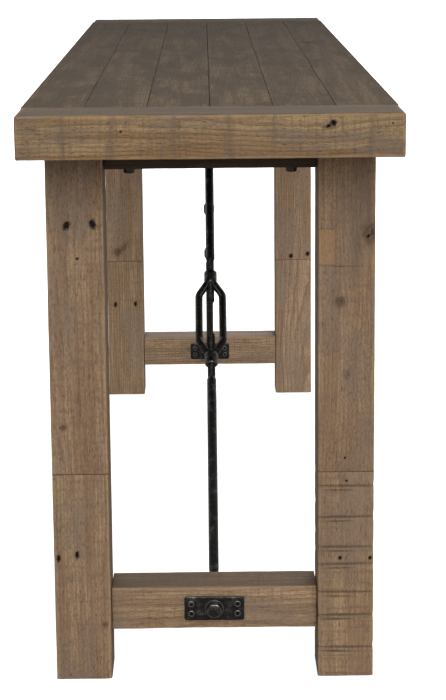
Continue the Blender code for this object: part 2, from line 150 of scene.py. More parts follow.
def add_block(name: str, low: Vector, high: Vector) -> Piece:
    """Adds a cube stretched between two corners.

    Args:
        name: the object's name.
        low: its lowest corner.
        high: its highest corner.

    Returns:
        The block.
    """
    bpy.ops.object.select_all(action="DESELECT")
    low, high = Vector(low), Vector(high)
    bpy.ops.mesh.primitive_cube_add(size=1.0, location=(low + high) / 2)
    bpy.context.active_object.scale = high - low
    return new_primitive(name)


def add_round_bar(name: str, radius: float, start: float, end: float, steps: int = 32) -> Piece:
    """Adds a cylinder about Z between two heights.

    Args:
        name: the object's name.
        radius: its radius, to the corners.
        start: height of its foot.
        end: height of its head.
        steps: sides of its outline.

    Returns:
        The cylinder.
    """
    bpy.ops.object.select_all(action="DESELECT")
    middle = (0, 0, (start + end) / 2)
    bpy.ops.mesh.primitive_cylinder_add(
        vertices=steps, radius=radius, depth=end - start, location=middle
    )
    return new_primitive(name)


def select_edges(obj: Piece, wanted: Callable[[bmesh.types.BMEdge], bool]) -> int:
    """Selects edges of the mesh that is being edited, and nothing else.

    Args:
        obj: the object in edit mode.
        wanted: says whether an edge is to be selected.

    Returns:
        How many edges were selected.
    """
    bpy.ops.mesh.select_mode(type="EDGE")
    bpy.ops.mesh.select_all(action="DESELECT")
    mesh = bmesh.from_edit_mesh(obj.data)
    chosen = [edge for edge in mesh.edges if wanted(edge)]
    for edge in chosen:
        edge.select_set(True)
    mesh.select_flush_mode()
    bmesh.update_edit_mesh(obj.data)
    return len(chosen)


def select_faces(obj: Piece, wanted: Callable[[bmesh.types.BMFace], bool]) -> int:
    """Selects faces of the mesh that is being edited, and nothing else.

    Args:
        obj: the object in edit mode.
        wanted: says whether a face is to be selected.

    Returns:
        How many faces were selected.
    """
    bpy.ops.mesh.select_mode(type="FACE")
    bpy.ops.mesh.select_all(action="DESELECT")
    mesh = bmesh.from_edit_mesh(obj.data)
    chosen = [face for face in mesh.faces if wanted(face)]
    for face in chosen:
        face.select_set(True)
    bmesh.update_edit_mesh(obj.data)
    return len(chosen)


def runs_along(edge: bmesh.types.BMEdge, axis: Axis) -> bool:
    """Whether an edge is parallel to an axis."""
    start, end = (vertex.co for vertex in edge.verts)
    return all(abs(start[i] - end[i]) < PARALLEL for i in axis.others)


def is_corner(edge: bmesh.types.BMEdge) -> bool:
    """Whether two faces meet at the edge about squarely."""
    return edge.calc_face_angle(0) > 1.0


def bevel_edges(
    obj: Piece, width: float, segments: int, wanted: Callable[[bmesh.types.BMEdge], bool]
) -> None:
    """Rounds the chosen edges of a piece.

    Args:
        obj: the piece.
        width: how far back from the edge the rounding starts.
        segments: steps across it.
        wanted: says whether an edge is to be rounded.
    """
    take_hold(obj)
    bpy.ops.object.mode_set(mode="EDIT")
    if select_edges(obj, wanted):
        bpy.ops.mesh.bevel(offset=width, segments=segments, affect="EDGES", clamp_overlap=True)
    bpy.ops.object.mode_set(mode="OBJECT")


def subdivide_along(obj: Piece, axis: Axis, pitch: float) -> None:
    """Cuts a block into slices across one axis.

    Args:
        obj: the block.
        axis: the direction that the slices follow each other in.
        pitch: about how thick a slice ends up.
    """
    most_cuts = 60
    take_hold(obj)
    bpy.ops.object.mode_set(mode="EDIT")
    while True:
        mesh = bmesh.from_edit_mesh(obj.data)
        longest = max(edge.calc_length() for edge in mesh.edges if runs_along(edge, axis))
        parts = round(longest / pitch)
        if parts < 2:
            break
        limit = longest / 2
        select_edges(obj, lambda edge: runs_along(edge, axis) and edge.calc_length() > limit)
        first_parts = parts if parts <= most_cuts else math.ceil(parts / most_cuts)
        bpy.ops.mesh.subdivide(number_cuts=first_parts - 1, smoothness=0)
    bpy.ops.object.mode_set(mode="OBJECT")


def finish_with(obj: Piece, kind: str, **settings: object) -> Piece:
    """Adds a modifier to a piece and applies it.

    Args:
        obj: the piece.
        kind: the modifier's type.
        **settings: the modifier's settings.

    Returns:
        The same piece.
    """
    take_hold(obj)
    modifier = obj.modifiers.new(kind.lower(), kind)
    for name, value in settings.items():
        setattr(modifier, name, value)
    bpy.ops.object.modifier_apply(modifier=modifier.name)
    return obj


def break_edges(obj: Piece, width: float, degrees: float = 35) -> Piece:
    """Takes the sharpness off every edge that turns by more than so many degrees.

    Args:
        obj: the piece.
        width: the width of the bevel.
        degrees: the least turn.

    Returns:
        The same piece.
    """
    sharp = math.radians(degrees)
    return finish_with(obj, "BEVEL", width=width, segments=2, limit_method="ANGLE",
                       angle_limit=sharp)


def fuse(obj: Piece, passes: int) -> None:
    """Melts a piece's parts into one skin, and smooths it in so many passes."""
    finish_with(obj, "REMESH", mode="VOXEL", voxel_size=VOXEL)
    finish_with(obj, "SMOOTH", factor=0.5, iterations=passes)


def combine(obj: Piece, operation: str, *tools: Piece) -> Piece:
    """Fuses shapes to a piece or cuts it with them, and removes them.

    Args:
        obj: the piece.
        operation: UNION, DIFFERENCE or INTERSECT.
        *tools: the other shapes.

    Returns:
        The same piece.
    """
    for tool in tools:
        finish_with(obj, "BOOLEAN", operation=operation, object=tool, solver="EXACT")
        bpy.data.objects.remove(tool, do_unlink=True)
    return obj


def place(obj: Piece, matrix: Matrix) -> Piece:
    """Moves a piece's mesh, while its object stays at the origin.

    Args:
        obj: the piece.
        matrix: where it goes.

    Returns:
        The same piece.
    """
    obj.data.transform(matrix)
    obj.data.update()
    return obj


def copy_of(obj: Piece, name: str) -> Piece:
    """Copies a piece with a mesh of its own.

    Args:
        obj: the piece.
        name: the copy's name.

    Returns:
        The copy.
    """
    twin = obj.copy()
    twin.data = obj.data.copy()
    twin.name = name
    bpy.context.scene.collection.objects.link(twin)
    return twin


def axes_at(origin: Vector, up: Vector, side: Vector) -> Matrix:
    """A matrix that takes Z to one direction and Y to another, square to it.

    Args:
        origin: where the piece's own origin goes.
        up: where its Z axis points.
        side: where its Y axis points.

    Returns:
        The matrix.
    """
    up, side = Vector(up).normalized(), Vector(side).normalized()
    turn = Matrix((side.cross(up), side, up)).transposed().to_4x4()
    return Matrix.Translation(Vector(origin)) @ turn


def middle_of(node: str) -> Vector:
    """The middle of a plain solid's box."""
    low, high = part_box(node)
    return (low + high) / 2


def drill(
    obj: Piece, radius: float, matrix: Matrix, steps: int = 32, start: float = -0.02,
    end: float = 0.02,
) -> Piece:
    """Drills a round hole.

    Args:
        obj: the piece.
        radius: the hole's radius.
        matrix: where the hole's own origin is, and which way its Z axis points.
        steps: sides of its outline.
        start: where it starts along its axis.
        end: where it ends.

    Returns:
        The same piece.
    """
    bit = add_round_bar("drill", radius, start, end, steps)
    return combine(obj, "DIFFERENCE", place(bit, matrix))


def turned(name: str, stations: Sequence[tuple[float, float]], steps: int = 32) -> Piece:
    """Models a round piece about Z by extruding a disc from station to station.

    Args:
        name: the object's name.
        stations: height and radius of each station. The first two go upwards.
        steps: sides of its outline.

    Returns:
        The piece, closed at both ends.
    """
    bpy.ops.object.select_all(action="DESELECT")
    foot, radius = stations[0]
    bpy.ops.mesh.primitive_circle_add(
        vertices=steps, radius=radius, fill_type="NGON", location=(0, 0, foot)
    )
    obj = new_primitive(name)
    bpy.ops.object.mode_set(mode="EDIT")
    bpy.ops.mesh.select_all(action="SELECT")
    for (height, radius), (next_height, next_radius) in zip(stations, stations[1:]):
        step = (0, 0, next_height - height)
        bpy.ops.mesh.extrude_region_move(TRANSFORM_OT_translate={"value": step})
        scale = next_radius / radius
        centre = (0, 0, next_height)
        bpy.ops.transform.resize(value=(scale, scale, 1), center_override=centre)
    bpy.ops.mesh.select_all(action="SELECT")
    bpy.ops.mesh.normals_make_consistent(inside=False)
    bpy.ops.object.mode_set(mode="OBJECT")
    return obj


def hexagon_head(name: str, across_flats: float, start: float, end: float) -> Piece:
    """Models a hexagonal head about Z, its upper corners turned off at 30 degrees.

    Args:
        name: the object's name.
        across_flats: its spanner size.
        start: height of its underside.
        end: height of its upper face.

    Returns:
        The head.
    """
    corner = across_flats / math.sqrt(3)
    clear = corner * 1.02
    head = add_round_bar(name, corner, start, end, steps=6)
    chamfer = 0.16 * across_flats * 0.58
    stations = ((start - GAP, clear), (end - chamfer, clear), (end + GAP, across_flats * 0.44))
    combine(head, "INTERSECT", turned("cone", stations, steps=48))
    return break_edges(head, 0.0005, degrees=25)


def rough_surface(
    obj: Piece, depth: float, size: float, stretch: Vector = Vector((1, 1, 1)), group: str = "",
    detail: int = 2,
) -> None:
    """Sinks a piece's surface unevenly, and never lets it stand proud.

    Args:
        obj: the piece.
        depth: how deep the deepest hollows are.
        size: how wide a hollow is.
        stretch: how much longer a hollow is in each direction.
        group: the vertex group that it acts on, or everything.
        detail: how many finer layers it has.
    """
    texture = bpy.data.textures.new("hollows", "CLOUDS")
    texture.noise_scale = size
    texture.noise_depth = detail
    guide = bpy.data.objects.new("guide", None)
    bpy.context.scene.collection.objects.link(guide)
    guide.scale = stretch
    bpy.context.view_layer.update()
    finish_with(
        obj, "DISPLACE", texture=texture, texture_coords="OBJECT", texture_coords_object=guide,
        mid_level=1.0, strength=depth, vertex_group=group,
    )
    bpy.data.objects.remove(guide, do_unlink=True)
    bpy.data.textures.remove(texture)


def weight_vertices(obj: Piece, group: str, weight: Callable[[Vector], float]) -> None:
    """Fills a vertex group from the place of each vertex.

    Args:
        obj: the piece.
        group: the group's name.
        weight: gives 0 to 1 for a place.
    """
    vertex_group = obj.vertex_groups.new(name=group)
    for vertex in obj.data.vertices:
        value = weight(vertex.co)
        if value > 0:
            vertex_group.add([vertex.index], value, "REPLACE")


def mark_wear_and_highlight(obj: Piece, share: Callable[[Vector], float]) -> Piece:
    """Notes on a piece's points, 0 to 1, how much lighter grey its black finish shows: wear, and
    painted highlights on rims, ridges and corners.

    Args:
        obj: the piece.
        share: gives that amount for a point.

    Returns:
        The same piece.
    """
    wear_and_highlight = obj.data.attributes.new("wear_and_highlight", "FLOAT", "POINT")
    wear_and_highlight.data.foreach_set("value", [share(vertex.co) for vertex in obj.data.vertices])
    return obj


def settle(
    obj: Piece, material: bpy.types.Material, slot: Slot, *nodes: str, body: str = TABLE_BODY
) -> Piece:
    """Dresses a finished piece, and lets it ride on its body in place of its plain solids.

    Args:
        obj: the piece.
        material: its finish.
        slot: the record's slot for that finish; not used.
        *nodes: the plain solids that it stands for.
        body: the body that it moves with.

    Returns:
        The same piece.
    """
    obj.vertex_groups.clear()
    obj.data.materials.clear()
    obj.data.materials.append(material)
    for polygon in obj.data.polygons:
        polygon.material_index = 0
    take_hold(obj)
    bpy.ops.object.shade_smooth_by_angle(angle=SMOOTH_ANGLE)
    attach(obj, body)
    if nodes:
        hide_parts(*nodes)
    LOG.info("%s: %d faces, rides on %s", obj.name, len(obj.data.polygons), body)
    return obj


# ---------------------------------------------------------------- finishes


def linear_rgb(hex_colour: str) -> tuple[float, float, float, float]:
    """Turns an sRGB hex colour, six digits after a #, to linear light with an alpha of 1.

    Args:
        hex_colour: the colour.

    Returns:
        Red, green, blue and alpha.
    """
    channels = [int(hex_colour[i : i + 2], 16) / 255 for i in (1, 3, 5)]
    linear = [c / 12.92 if c <= 0.04045 else ((c + 0.055) / 1.055) ** 2.4 for c in channels]
    return (*linear, 1.0)


def add_node(
    tree: bpy.types.NodeTree, kind: str, inputs: Sequence | dict[str, Value] = (),
    **settings: object,
) -> bpy.types.Node:
    """Adds one shader node with its settings and what feeds it.

    Args:
        tree: the node tree.
        kind: the node's type, without the ShaderNode in front.
        inputs: a number, a colour, a node or a socket for each input, in order or by name.
        **settings: the node's own settings.

    Returns:
        The node.
    """
    node = tree.nodes.new("ShaderNode" + kind)
    for name, value in settings.items():
        setattr(node, name, value)
    sockets = [socket for socket in node.inputs if socket.enabled]
    named = inputs.items() if isinstance(inputs, dict) else enumerate(inputs)
    for key, value in named:
        socket = sockets[key] if isinstance(key, int) else next(s for s in sockets if s.name == key)
        if isinstance(value, bpy.types.Node):
            value = next(output for output in value.outputs if output.enabled)
        if isinstance(value, bpy.types.NodeSocket):
            tree.links.new(value, socket)
        else:
            socket.default_value = value
    return node


def new_material(name: str) -> tuple[bpy.types.Material, bpy.types.NodeTree]:
    """Makes an empty node material, and gives it and its node tree.

    Args:
        name: its name.

    Returns:
        The material and its node tree.
    """
    material = bpy.data.materials.new(name)
    material.use_nodes = True
    material.node_tree.nodes.clear()
    return material, material.node_tree


@dataclass(frozen=True)
class Mark:
    """One old hole, knot or stain, on the face of a timber that looks along +X or +Z.

    The place is given by the face's two own coordinates, in the order X, Y, Z.
    """

    trace: Trace
    place: tuple[float, float]
    radius: float
    length: float = 1.0  # how much longer it is along the grain
    lean: float = 0.0  # in degrees, seen from outside
    face: Axis = Axis.X

    def centre(self, high: Vector) -> Vector:
        """Where the mark is on a timber with this highest corner.

        Args:
            high: the timber's highest corner.

        Returns:
            The mark's middle.
        """
        point = Vector(high)
        for index, value in zip(self.face.others, self.place):
            point[index] = value
        return point


class Figure(NamedTuple):
    """Noise drawn out along the grain."""

    width: float  # of one streak
    stretch: float  # how many times longer than wide it is
    detail: float  # how many finer layers it has
    rough: float  # how strong these are


FIBRES = Figure(0.0022, 26, 5.0, 0.70)
GRIT = Figure(0.0016, 3.0, 3.0, 0.65)
PALE_STREAKS = Figure(0.014, 24, 3.0, 0.55)
WASH_PATCHES = Figure(0.050, 3.0, 4.0, 0.62)
PORES = Figure(0.0012, 9, 1.0, 0.5)
RAGGED_EDGE = Figure(0.009, 5, 3.0, 0.6)


@dataclass(frozen=True)
class WeatheredPine:
    """Reclaimed pine, sawn and brushed, grey-washed and waxed matt.

    It gives the eye soft tan wood with low contrast: growth rings a few millimetres apart,
    fine long fibres, grey patches where the grey coat stayed, faint saw marks across the grain
    and dark grime in joints. Holes and saw cuts are painted dark as shade in their depth, and
    faces that look up can be painted darker as shade, since the light comes mostly from the front.
    """

    name: str
    pale: str = "#a0876a"
    tan: str = "#8a7159"
    late: str = "#6d5744"  # the hard late rings
    grey: str = "#7a6c61"  # wash left in the hollows
    worn: str = "#a88e6c"
    # dirt, and the painted shade in holes and saw cuts
    dirt_and_shade: str = "#2b211a"
    let_in: str = "#926e48"  # a patch of fresher wood
    weathered: str = "#5f5146"
    # colour of the painted shade on faces that look up
    upward_shade: str = "#62564a"
    # colour that faces which don't look up go back to, where the top's painted shade stops
    side_tone: str = "#8f765a"
    ring_spacing: float = 0.0042
    ring_strength: float = 0.60
    fibre_strength: float = 0.58
    streak_strength: float = 0.65
    grit_strength: float = 0.45
    saw_pitch: float = 0.009
    saw_strength: float = 0.28
    edge_dirt: float = 0.30
    dirt_width: float = 0.0016
    edge_wear: float = 0.30
    upward_shade_strength: float = 0.0  # how strongly faces that look up take the painted shade
    far_darkness: float = 0.0  # how much darker the top is coloured toward its rear end
    side_tone_strength: float = 0.0  # how much the faces that don't look up return to the side tone, away from the top's painted shade
    relief: float = 0.00035
    roughness: tuple[float, float] = (0.62, 0.80)
    sheen: float = 0.32  # specular level of the thin wax
    ior: float = 1.48

    def dress(self, timber: "Timber") -> bpy.types.Material:
        """Makes this finish for one timber, with its own heartwood, grain and marks."""
        return PineCoat(self, timber).lay()


SOFTLY = {"interpolation_type": "SMOOTHSTEP"}  # how one colour gives way to another


@dataclass
class PineCoat:
    """The wood of one timber, laid node by node from the raw wood up."""

    finish: WeatheredPine
    timber: "Timber"

    def __post_init__(self) -> None:
        """Finds the place in the timber, its grain along X, and how far each mark is."""
        self.material, self.tree = new_material(f"{self.finish.name}_{self.timber.name}")
        self.coords = self.add("TexCoord")
        to_grain = self.timber.grain_matrix()
        self.to_grain = to_grain.to_3x3()
        self.local = self.add("Mapping", {
            "Vector": self.coords.outputs["Object"],
            "Location": -(self.to_grain @ self.timber.centre),
            "Rotation": to_grain.to_euler(),
        })
        self.scattered = self.add("VectorMath", [self.local, self.timber.scatter], operation="ADD")
        self.marks = [(mark, *self.distance_to(mark)) for mark in self.timber.marks]

    def add(
        self, kind: str, inputs: Sequence | dict[str, Value] = (), **settings: object
    ) -> bpy.types.Node:
        """Adds a node to this timber's material."""
        return add_node(self.tree, kind, inputs, **settings)

    def blend(self, base: Value, tint: Value, factor: Value, strength: float) -> bpy.types.Node:
        """Lays one colour over another.

        Args:
            base: the colour under it.
            tint: the colour on top, in hex or as a node.
            factor: where the upper one shows, 0 to 1.
            strength: how much of it shows there.

        Returns:
            The node with the mixed colour.
        """
        if strength != 1.0:
            factor = self.add("Math", [factor, strength], operation="MULTIPLY", use_clamp=True)
        over = linear_rgb(tint) if isinstance(tint, str) else tint
        return self.add("Mix", {"Factor": factor, "A": base, "B": over}, data_type="RGBA")

    def cover(
        self, base: Value, tint: Value, value: Value, start: float, whole: float, strength: float
    ) -> bpy.types.Node:
        """Lays a colour over another where a value passes from one limit to the other.

        Args:
            base: the colour under it.
            tint: the colour on top.
            value: what decides where it shows.
            start: the value at which it starts to show.
            whole: the value at which it is whole.
            strength: how much of it shows there.

        Returns:
            The node with the mixed colour.
        """
        shown = self.add("MapRange", [value, start, whole, 0.0, 1.0], **SOFTLY)
        return self.blend(base, tint, shown, strength)

    def drawn_noise(self, figure: Figure) -> bpy.types.Node:
        """Noise drawn out along the grain, as wide and long as its figure says.

        Args:
            figure: its sizes.

        Returns:
            The noise.
        """
        scale = (1 / (figure.width * figure.stretch), 1 / figure.width, 1 / figure.width)
        drawn = self.add("VectorMath", [self.scattered, scale], operation="MULTIPLY")
        return self.add("TexNoise", {
            "Vector": drawn, "Scale": 1.0, "Detail": figure.detail, "Roughness": figure.rough,
        })

    def lay(self) -> bpy.types.Material:
        """Lays every coat of the finish, from the raw wood to the wax.

        Returns:
            The material.
        """
        finish = self.finish
        fibres, grit, patches = map(self.drawn_noise, (FIBRES, GRIT, WASH_PATCHES))
        rings, saw = self.rings(), self.saw_marks(patches)
        pores = self.add("MapRange", [self.drawn_noise(PORES), 0.62, 0.72, 0.0, 1.0], **SOFTLY)
        streaks = self.drawn_noise(PALE_STREAKS)

        colour = self.cover(linear_rgb(finish.tan), finish.pale, streaks, 0.42, 0.60, 1.0)
        colour = self.blend(colour, finish.late, rings, finish.ring_strength)
        colour = self.cover(colour, finish.late, fibres, 0.44, 0.68, finish.fibre_strength)
        colour = self.cover(colour, finish.grey, patches, 0.44, 0.60, finish.streak_strength)
        colour = self.cover(colour, finish.late, grit, 0.46, 0.66, finish.grit_strength)
        for tint in (finish.late, finish.grey):
            colour = self.blend(colour, tint, saw, finish.saw_strength)
        colour = self.blend(colour, finish.dirt_and_shade, pores, 0.50)
        colour = self.end_grain(colour)
        # The top is coloured darker toward its rear end.
        if finish.far_darkness:
            along = self.add("SeparateXYZ", [self.coords.outputs["Object"]])
            far = self.add("MapRange", [along.outputs[0], 0.9, -0.9, 0.0, 1.0])
            colour = self.blend(colour, finish.late, far, finish.far_darkness)
        # Painted shade: faces that look up are coloured darker, because they get less light than
        # the faces turned to the front. The top's planks work the other way: their faces that don't
        # look up go back to a paler side tone, so the top's darker colours, which are partly
        # painted shade, stay on its upper face.
        for tint, start, whole, strength in (
            (finish.upward_shade, 0.55, 0.9, finish.upward_shade_strength), (finish.side_tone, 0.75, 0.45, finish.side_tone_strength),
        ):
            if strength:
                upward = self.add("SeparateXYZ", [self.coords.outputs["Normal"]]).outputs[2]
                colour = self.cover(colour, tint, upward, start, whole, strength)
        colour = self.edges(colour)
        for mark, distance, _ in self.marks:
            colour = self.stain(colour, mark, distance)

        height = self.add("Math", [rings, 0.35, fibres], operation="MULTIPLY_ADD")
        for value, depth in ((saw, 0.4), (pores, -0.5), (grit, -0.6)):
            height = self.add("Math", [value, depth, height], operation="MULTIPLY_ADD")
        bump = self.add("Bump", {"Height": height, "Strength": 0.6, "Distance": finish.relief})
        gloss = self.add("MapRange", [fibres, 0.3, 0.7, *finish.roughness])
        shader = self.add("BsdfPrincipled", {
            "Base Color": colour, "Roughness": gloss, "Normal": bump,
            "Specular IOR Level": finish.sheen, "IOR": finish.ior,
        })
        self.add("OutputMaterial", {"Surface": shader})
        return self.material

    def distance_to(self, mark: Mark) -> tuple[bpy.types.Node, bpy.types.Node]:
        """How far a place is from a mark, with an uneven rim.

        Args:
            mark: the mark.

        Returns:
            The distance in radii of the mark, and the vector from it.
        """
        centre = self.to_grain @ (mark.centre(self.timber.high) - self.timber.centre)
        offset = self.add("VectorMath", [self.local, centre], operation="SUBTRACT")
        normal = self.to_grain @ mark.face.vector
        leant = self.add(
            "VectorRotate", {"Vector": offset, "Axis": normal, "Angle": math.radians(mark.lean)}
        )
        scale = Vector((1 / mark.length, 1.0, 1.0)) / mark.radius
        deep = max(range(3), key=lambda i: abs(normal[i]))
        scale[deep] /= 5  # a mark reaches further in than across
        scaled = self.add("VectorMath", [leant, scale], operation="MULTIPLY")
        if mark.trace is Trace.PATCH:
            size = self.add("VectorMath", [scaled], operation="ABSOLUTE")
            x, y, z = self.add("SeparateXYZ", [size]).outputs
            across = self.add("Math", [y, z], operation="MAXIMUM")
            return self.add("Math", [x, across], operation="MAXIMUM"), offset
        distance = self.add("VectorMath", [scaled], operation="LENGTH").outputs["Value"]
        uneven = self.add("TexNoise", {"Vector": scaled, "Scale": 1.3, "Detail": 3.0})
        rim = self.add("MapRange", [uneven, 0.25, 0.75, -0.45, 0.45])
        return self.add("Math", [distance, rim], operation="ADD"), offset

    def rings(self) -> bpy.types.Node:
        """The growth rings round the heart of the log, bent by its growth and by each knot.

        Returns:
            The node that is 1 on the hard late wood.
        """
        wander, reach = (3.0, 11.0, 11.0), (0.0, 0.022, 0.022)
        drawn = self.add("VectorMath", [self.scattered, wander], operation="MULTIPLY")
        growth = self.add("TexNoise", {"Vector": drawn, "Scale": 1.0, "Detail": 2.0})
        growth = growth.outputs["Color"]
        bend = self.add("VectorMath", [growth, (0.5, 0.5, 0.5)], operation="SUBTRACT")
        bent = self.add("VectorMath", [bend, reach, self.local], operation="MULTIPLY_ADD")
        for mark, distance, offset in self.marks:
            if mark.trace in (Trace.KNOT, Trace.LOST_KNOT):
                away = self.add("VectorMath", [offset], operation="NORMALIZE")
                push = self.add("MapRange", [distance, 0.7, 5.0, -mark.radius, 0.0])
                around = self.add("VectorMath", {"Vector": away, "Scale": push}, operation="SCALE")
                bent = self.add("VectorMath", [bent, around], operation="ADD")
        about_heart = self.add("VectorMath", [bent, self.timber.heart], operation="ADD")
        turns_per_unit = 2 * math.pi / 20  # the wave's own phase is 20 times the distance
        wave = self.add(
            "TexWave",
            {"Vector": about_heart, "Scale": turns_per_unit / self.finish.ring_spacing,
             "Distortion": 1.6, "Detail": 2.0, "Detail Scale": 0.6},
            wave_type="RINGS", rings_direction="X", wave_profile="SAW",
        )
        return self.add("Math", [wave.outputs[1], 2.6], operation="POWER")

    def saw_marks(self, patches: bpy.types.Node) -> bpy.types.Node:
        """Faint lines square to the grain, left by a big saw where the grey coat is thin.

        Args:
            patches: broad noise that says where the grey coat stayed.

        Returns:
            The node that is 1 in a saw mark.
        """
        line_length = 0.11
        scale = (1 / self.finish.saw_pitch, 1 / line_length, 1 / line_length)
        drawn = self.add("VectorMath", [self.scattered, scale], operation="MULTIPLY")
        lines = self.add(
            "TexNoise", {"Vector": drawn, "Scale": 1.0, "Detail": 4.0, "Roughness": 0.7}
        )
        cut = self.add("MapRange", [lines, 0.50, 0.68, 0.0, 1.0], **SOFTLY)
        kept = self.add("MapRange", [patches, 0.62, 0.42, 0.0, 1.0], **SOFTLY)
        return self.add("Math", [cut, kept], operation="MULTIPLY")

    def end_grain(self, colour: Value) -> bpy.types.Node:
        """Darkens the sawn ends, which drink more of the grey coat, and gives the new colour.

        Args:
            colour: the colour so far.

        Returns:
            The new colour.
        """
        both = [self.coords.outputs["Normal"], self.timber.grain.vector]
        facing = self.add("VectorMath", both, operation="DOT_PRODUCT").outputs["Value"]
        size = self.add("Math", [facing], operation="ABSOLUTE")
        return self.cover(colour, self.finish.late, size, 0.7, 0.95, 0.45)

    def edges(self, colour: Value) -> bpy.types.Node:
        """Dirt in the joint lines, and paler wood where hands and feet wore the arrises.

        Args:
            colour: the colour so far.

        Returns:
            The node with the new colour.
        """
        finish = self.finish
        half = self.to_grain @ (self.timber.high - self.timber.low) / 2
        half = Vector([abs(side) for side in half])
        size = self.add("VectorMath", [self.local], operation="ABSOLUTE")
        inside = self.add("VectorMath", [half, size], operation="SUBTRACT")
        x, y, z = self.add("SeparateXYZ", [inside]).outputs
        arris = self.add("Math", [y, z], operation="MAXIMUM")
        if self.timber.end_arris is None:
            least = self.add("Math", [y, z], operation="MINIMUM")
            second = self.add("Math", [arris, x], operation="MINIMUM")
            arris = self.add("Math", [least, second], operation="MAXIMUM")
        ragged = self.drawn_noise(RAGGED_EDGE)
        offset = self.add("MapRange", [ragged, 0.3, 0.7, -0.0022, 0.0022])
        reach = self.add("Math", [arris, offset], operation="ADD")
        colour = self.cover(colour, finish.worn, reach, 0.0055, 0.0012, finish.edge_wear)
        dirt_reach = self.add("Math", [offset, 0.25, arris], operation="MULTIPLY_ADD")
        return self.cover(
            colour, finish.dirt_and_shade, dirt_reach, finish.dirt_width, 0.0002, finish.edge_dirt
        )

    def stain(self, colour: Value, mark: Mark, distance: Value) -> bpy.types.Node:
        """Colours one mark: black in a hole, painted as shade in its depth, brown rings in a knot,
        and a halo round both.

        Args:
            colour: the colour so far.
            mark: the mark.
            distance: how far a place is from it, in its radii.

        Returns:
            The node with the new colour.
        """
        finish = self.finish
        flat = {
            Trace.SMUDGE: (finish.dirt_and_shade, 1.2, 0.1, 0.45),
            # A saw cut's dark line is painted shade in the cut.
            Trace.SAW_CUT: (finish.dirt_and_shade, 1.5, 0.2, 0.62),
            Trace.STREAK: (finish.weathered, 1.5, 0.2, 0.45),
        }
        if mark.trace in flat:
            tint, *limits = flat[mark.trace]
            return self.cover(colour, tint, distance, *limits)
        if mark.trace is Trace.PATCH:
            fresher = self.blend(colour, finish.let_in, 0.45, 1.0)
            colour = self.cover(colour, finish.dirt_and_shade, distance, 1.08, 1.02, 0.45)
            return self.cover(colour, fresher, distance, 1.02, 0.98, 1.0)
        halo_reach, halo_strength = (2.1, 0.40) if mark.trace is Trace.KNOT else (1.9, 0.45)
        colour = self.cover(colour, finish.late, distance, halo_reach, 0.9, halo_strength)
        # The black inside a hole is painted shade in its depth.
        if mark.trace is not Trace.KNOT:
            return self.cover(colour, finish.dirt_and_shade, distance, 1.25, 0.95, 0.95)
        phase = self.add("Math", [distance, 11.0], operation="MULTIPLY")
        ripple = self.add("Math", [phase], operation="SINE")
        rings = self.add("MapRange", [ripple, -0.2, 1.0, 0.0, 1.0], **SOFTLY)
        inside = self.add("MapRange", [distance, 1.15, 0.95, 0.0, 1.0], **SOFTLY)
        colour = self.blend(colour, finish.late, inside, 0.55)
        both = self.add("Math", [rings, inside], operation="MULTIPLY")
        colour = self.blend(colour, finish.dirt_and_shade, both, 0.35)
        return self.cover(colour, finish.dirt_and_shade, distance, 0.4, 0.1, 0.7)


@dataclass(frozen=True)
class BlackenedIron:
    """Forged iron, blackened with oil and worn where hands touch it.

    It gives the eye a near-black satin metal with shallow hammer dents, a fine scale grain,
    faint brown bloom, lighter grey where the black has worn away, and the same grey
    painted as highlights on the rims, ridges and corners that a piece notes on its points.
    """

    name: str
    black: str = "#2c2c2c"
    wear_and_highlight: str = "#828280"
    bloom: str = "#33271f"
    bloom_size: float = 0.012
    dent: float = 0.006
    scale_grain: float = 0.0017
    rubbed_share: float = 0.62  # noise level above which the black has gone
    relief: float = 0.0006  # depth of the dents and the scale
    roughness: tuple[float, float] = (0.24, 0.42)
    metallic: float = 0.85

    @cache
    def dress(self) -> bpy.types.Material:
        """Makes the finish, once for all the pieces that share it.

        Returns:
            The material.
        """
        material, tree = new_material(self.name)
        at = add_node(tree, "TexCoord").outputs["Object"]
        broad, fine = (
            add_node(tree, "TexNoise", {
                "Vector": at, "Scale": 1 / size, "Detail": detail, "Roughness": 0.6,
            })
            for size, detail in ((self.bloom_size, 4.0), (self.scale_grain, 2.0))
        )
        dents = add_node(
            tree, "TexVoronoi", {"Vector": at, "Scale": 1 / self.dent, "Smoothness": 0.6},
            feature="SMOOTH_F1",
        ).outputs["Distance"]
        start, whole = self.rubbed_share - 0.12, self.rubbed_share + 0.1
        worn = add_node(
            tree, "MapRange", [broad, start, whole, 0.0, 0.3], interpolation_type="SMOOTHSTEP"
        )
        # The piece's own notes of lighter grey, painted highlights with some wear, join the worn
        # patches.
        highlight_and_wear = add_node(tree, "Attribute", attribute_name="wear_and_highlight").outputs["Fac"]
        worn = add_node(tree, "Math", [worn, highlight_and_wear], operation="MAXIMUM")
        rust = add_node(
            tree, "MapRange", [broad, 0.44, 0.34, 0.0, 0.55], interpolation_type="SMOOTHSTEP"
        )
        colour = linear_rgb(self.black)
        for tint, share in ((self.bloom, rust), (self.wear_and_highlight, worn)):
            layers = {"Factor": share, "A": colour, "B": linear_rgb(tint)}
            colour = add_node(tree, "Mix", layers, data_type="RGBA")
        height = add_node(tree, "Math", [fine, 0.60, dents], operation="MULTIPLY_ADD")
        bump = add_node(tree, "Bump", {"Height": height, "Strength": 0.8, "Distance": self.relief})
        gloss = add_node(tree, "MapRange", [fine, 0.3, 0.7, *self.roughness])
        shader = add_node(tree, "BsdfPrincipled", {
            "Base Color": colour, "Roughness": gloss, "Normal": bump, "Metallic": self.metallic,
        })
        add_node(tree, "OutputMaterial", {"Surface": shader})
        return material


